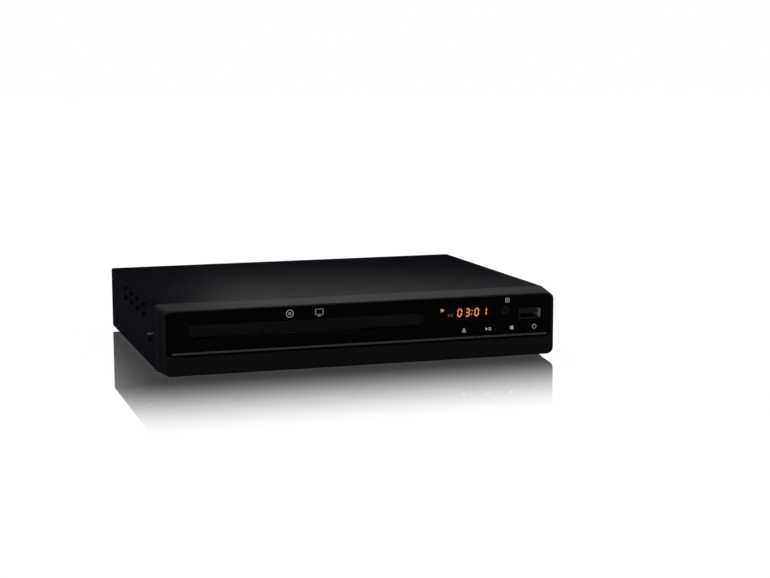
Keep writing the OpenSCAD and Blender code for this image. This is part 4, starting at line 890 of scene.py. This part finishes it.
bare_aluminium = finish("bare aluminium", (0.7, 0.7, 0.71), 0.4, metal=1.0, grain=400.0, bump=0.000006)
sleeve = finish("can sleeve", (0.012, 0.014, 0.05), 0.35, grain=1400.0, bump=0.000006)
paint("power_heatsink", bare_aluminium)
cans = dress("capacitors", 0.4, sleeve)
cans.data.materials.append(bare_aluminium)
for face in cans.data.polygons:
    if face.normal.z > facing:
        face.material_index = 1


def striped(name, axis, pitch, first, tones, rough):
    """Colours that follow each other along one axis: pitch in mm, from first in metres."""
    material, tree = new_material(name)
    where = object_place(tree)
    along = node(tree, "ShaderNodeSeparateXYZ", i0=where).outputs[axis]
    last = first + pitch * len(tones) / 1000
    ramp = node(tree, "ShaderNodeValToRGB", i0=ranged(tree, along, first, last, 0.0, 1.0))
    ramp.color_ramp.interpolation = "CONSTANT"
    while len(ramp.color_ramp.elements) < len(tones):
        ramp.color_ramp.elements.new(0.5)
    for i, tone in enumerate(tones):
        ramp.color_ramp.elements[i].position = i / len(tones)
        ramp.color_ramp.elements[i].color = (*tone, 1)
    fine = node(tree, "ShaderNodeTexNoise", Vector=where, Scale=1500.0, Detail=3.0).outputs[0]
    surface(tree,
            Base_Color=ramp.outputs[0],
            Roughness=ranged(tree, fine, mottle_low, mottle_high, rough - 0.06, rough + 0.06),
            Normal=relief(tree, fine, 0.00001))
    return material


wire_red, wire_black = (0.30, 0.02, 0.02), (0.012, 0.012, 0.012)
wire_yellow, wire_white = (0.45, 0.32, 0.02), (0.6, 0.6, 0.58)
harness_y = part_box("power_harness")[0].y - 0.0001
paint("power_harness", striped("wire sleeves", "Y", 1.4, harness_y,
                               [wire_red, wire_black, wire_yellow, wire_white], 0.45))
ribbon_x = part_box("front_cable")[0].x
ribbon_tones = [(0.70, 0.70, 0.68), (0.45, 0.47, 0.50)] * 12
paint("front_cable", striped("ribbon cable", "X", 0.5, ribbon_x, ribbon_tones, 0.4))

# ---- Rear sockets ----
# Four phono sockets with plated sleeves and coloured insulators, the plated video socket and the mains inlet
# with its two pins. All are soldered to the boards and look out through the rear panel.

socket_plastic = finish("socket moulding", (0.02, 0.02, 0.02), 0.45, grain=2200.0)
yellow, white = (0.62, 0.48, 0.02), (0.62, 0.62, 0.60)
red, orange = (0.45, 0.015, 0.015), (0.50, 0.14, 0.01)
insulators = [yellow, white, red, orange]
panel_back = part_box("rear_panel")[1].y
jacks = dress("rca_jacks", 0.15, socket_plastic)
jacks.data.materials.append(plated)
for i, tone in enumerate(insulators):
    insulator = finish("phono insulator " + str(i + 1), tone, 0.35, grain=2200.0, bump=0.000006)
    jacks.data.materials.append(insulator)
jack_x0, jack_x1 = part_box("rca_jacks")[0].x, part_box("rca_jacks")[1].x
jack_count, proud = len(insulators), 0.0004
for face in jacks.data.polygons:
    if face.center.y > panel_back + proud:
        which = min(jack_count - 1, int(jack_count * (face.center.x - jack_x0) / (jack_x1 - jack_x0)))
        face.material_index = 2 + which if face.normal.y > facing else 1
dress("hdmi_socket", 0.1, plated)

# The inlet's pins, in metres: half their pitch, their height, their reach, and the depth of the cup round them
pin_half_pitch, pin_z, pin_reach, cup_floor = 0.0043, 0.0156, 0.00135, 0.0132
inlet = dress("mains_inlet", 0.2, socket_plastic)
inlet.data.materials.append(plated)
inlet_x = (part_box("mains_inlet")[0].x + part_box("mains_inlet")[1].x) / 2
for face in inlet.data.polygons:
    from_pin = math.hypot(abs(face.center.x - inlet_x) - pin_half_pitch, face.center.z - pin_z)
    if face.center.y > panel_back - cup_floor and from_pin < pin_reach:
        face.material_index = 1
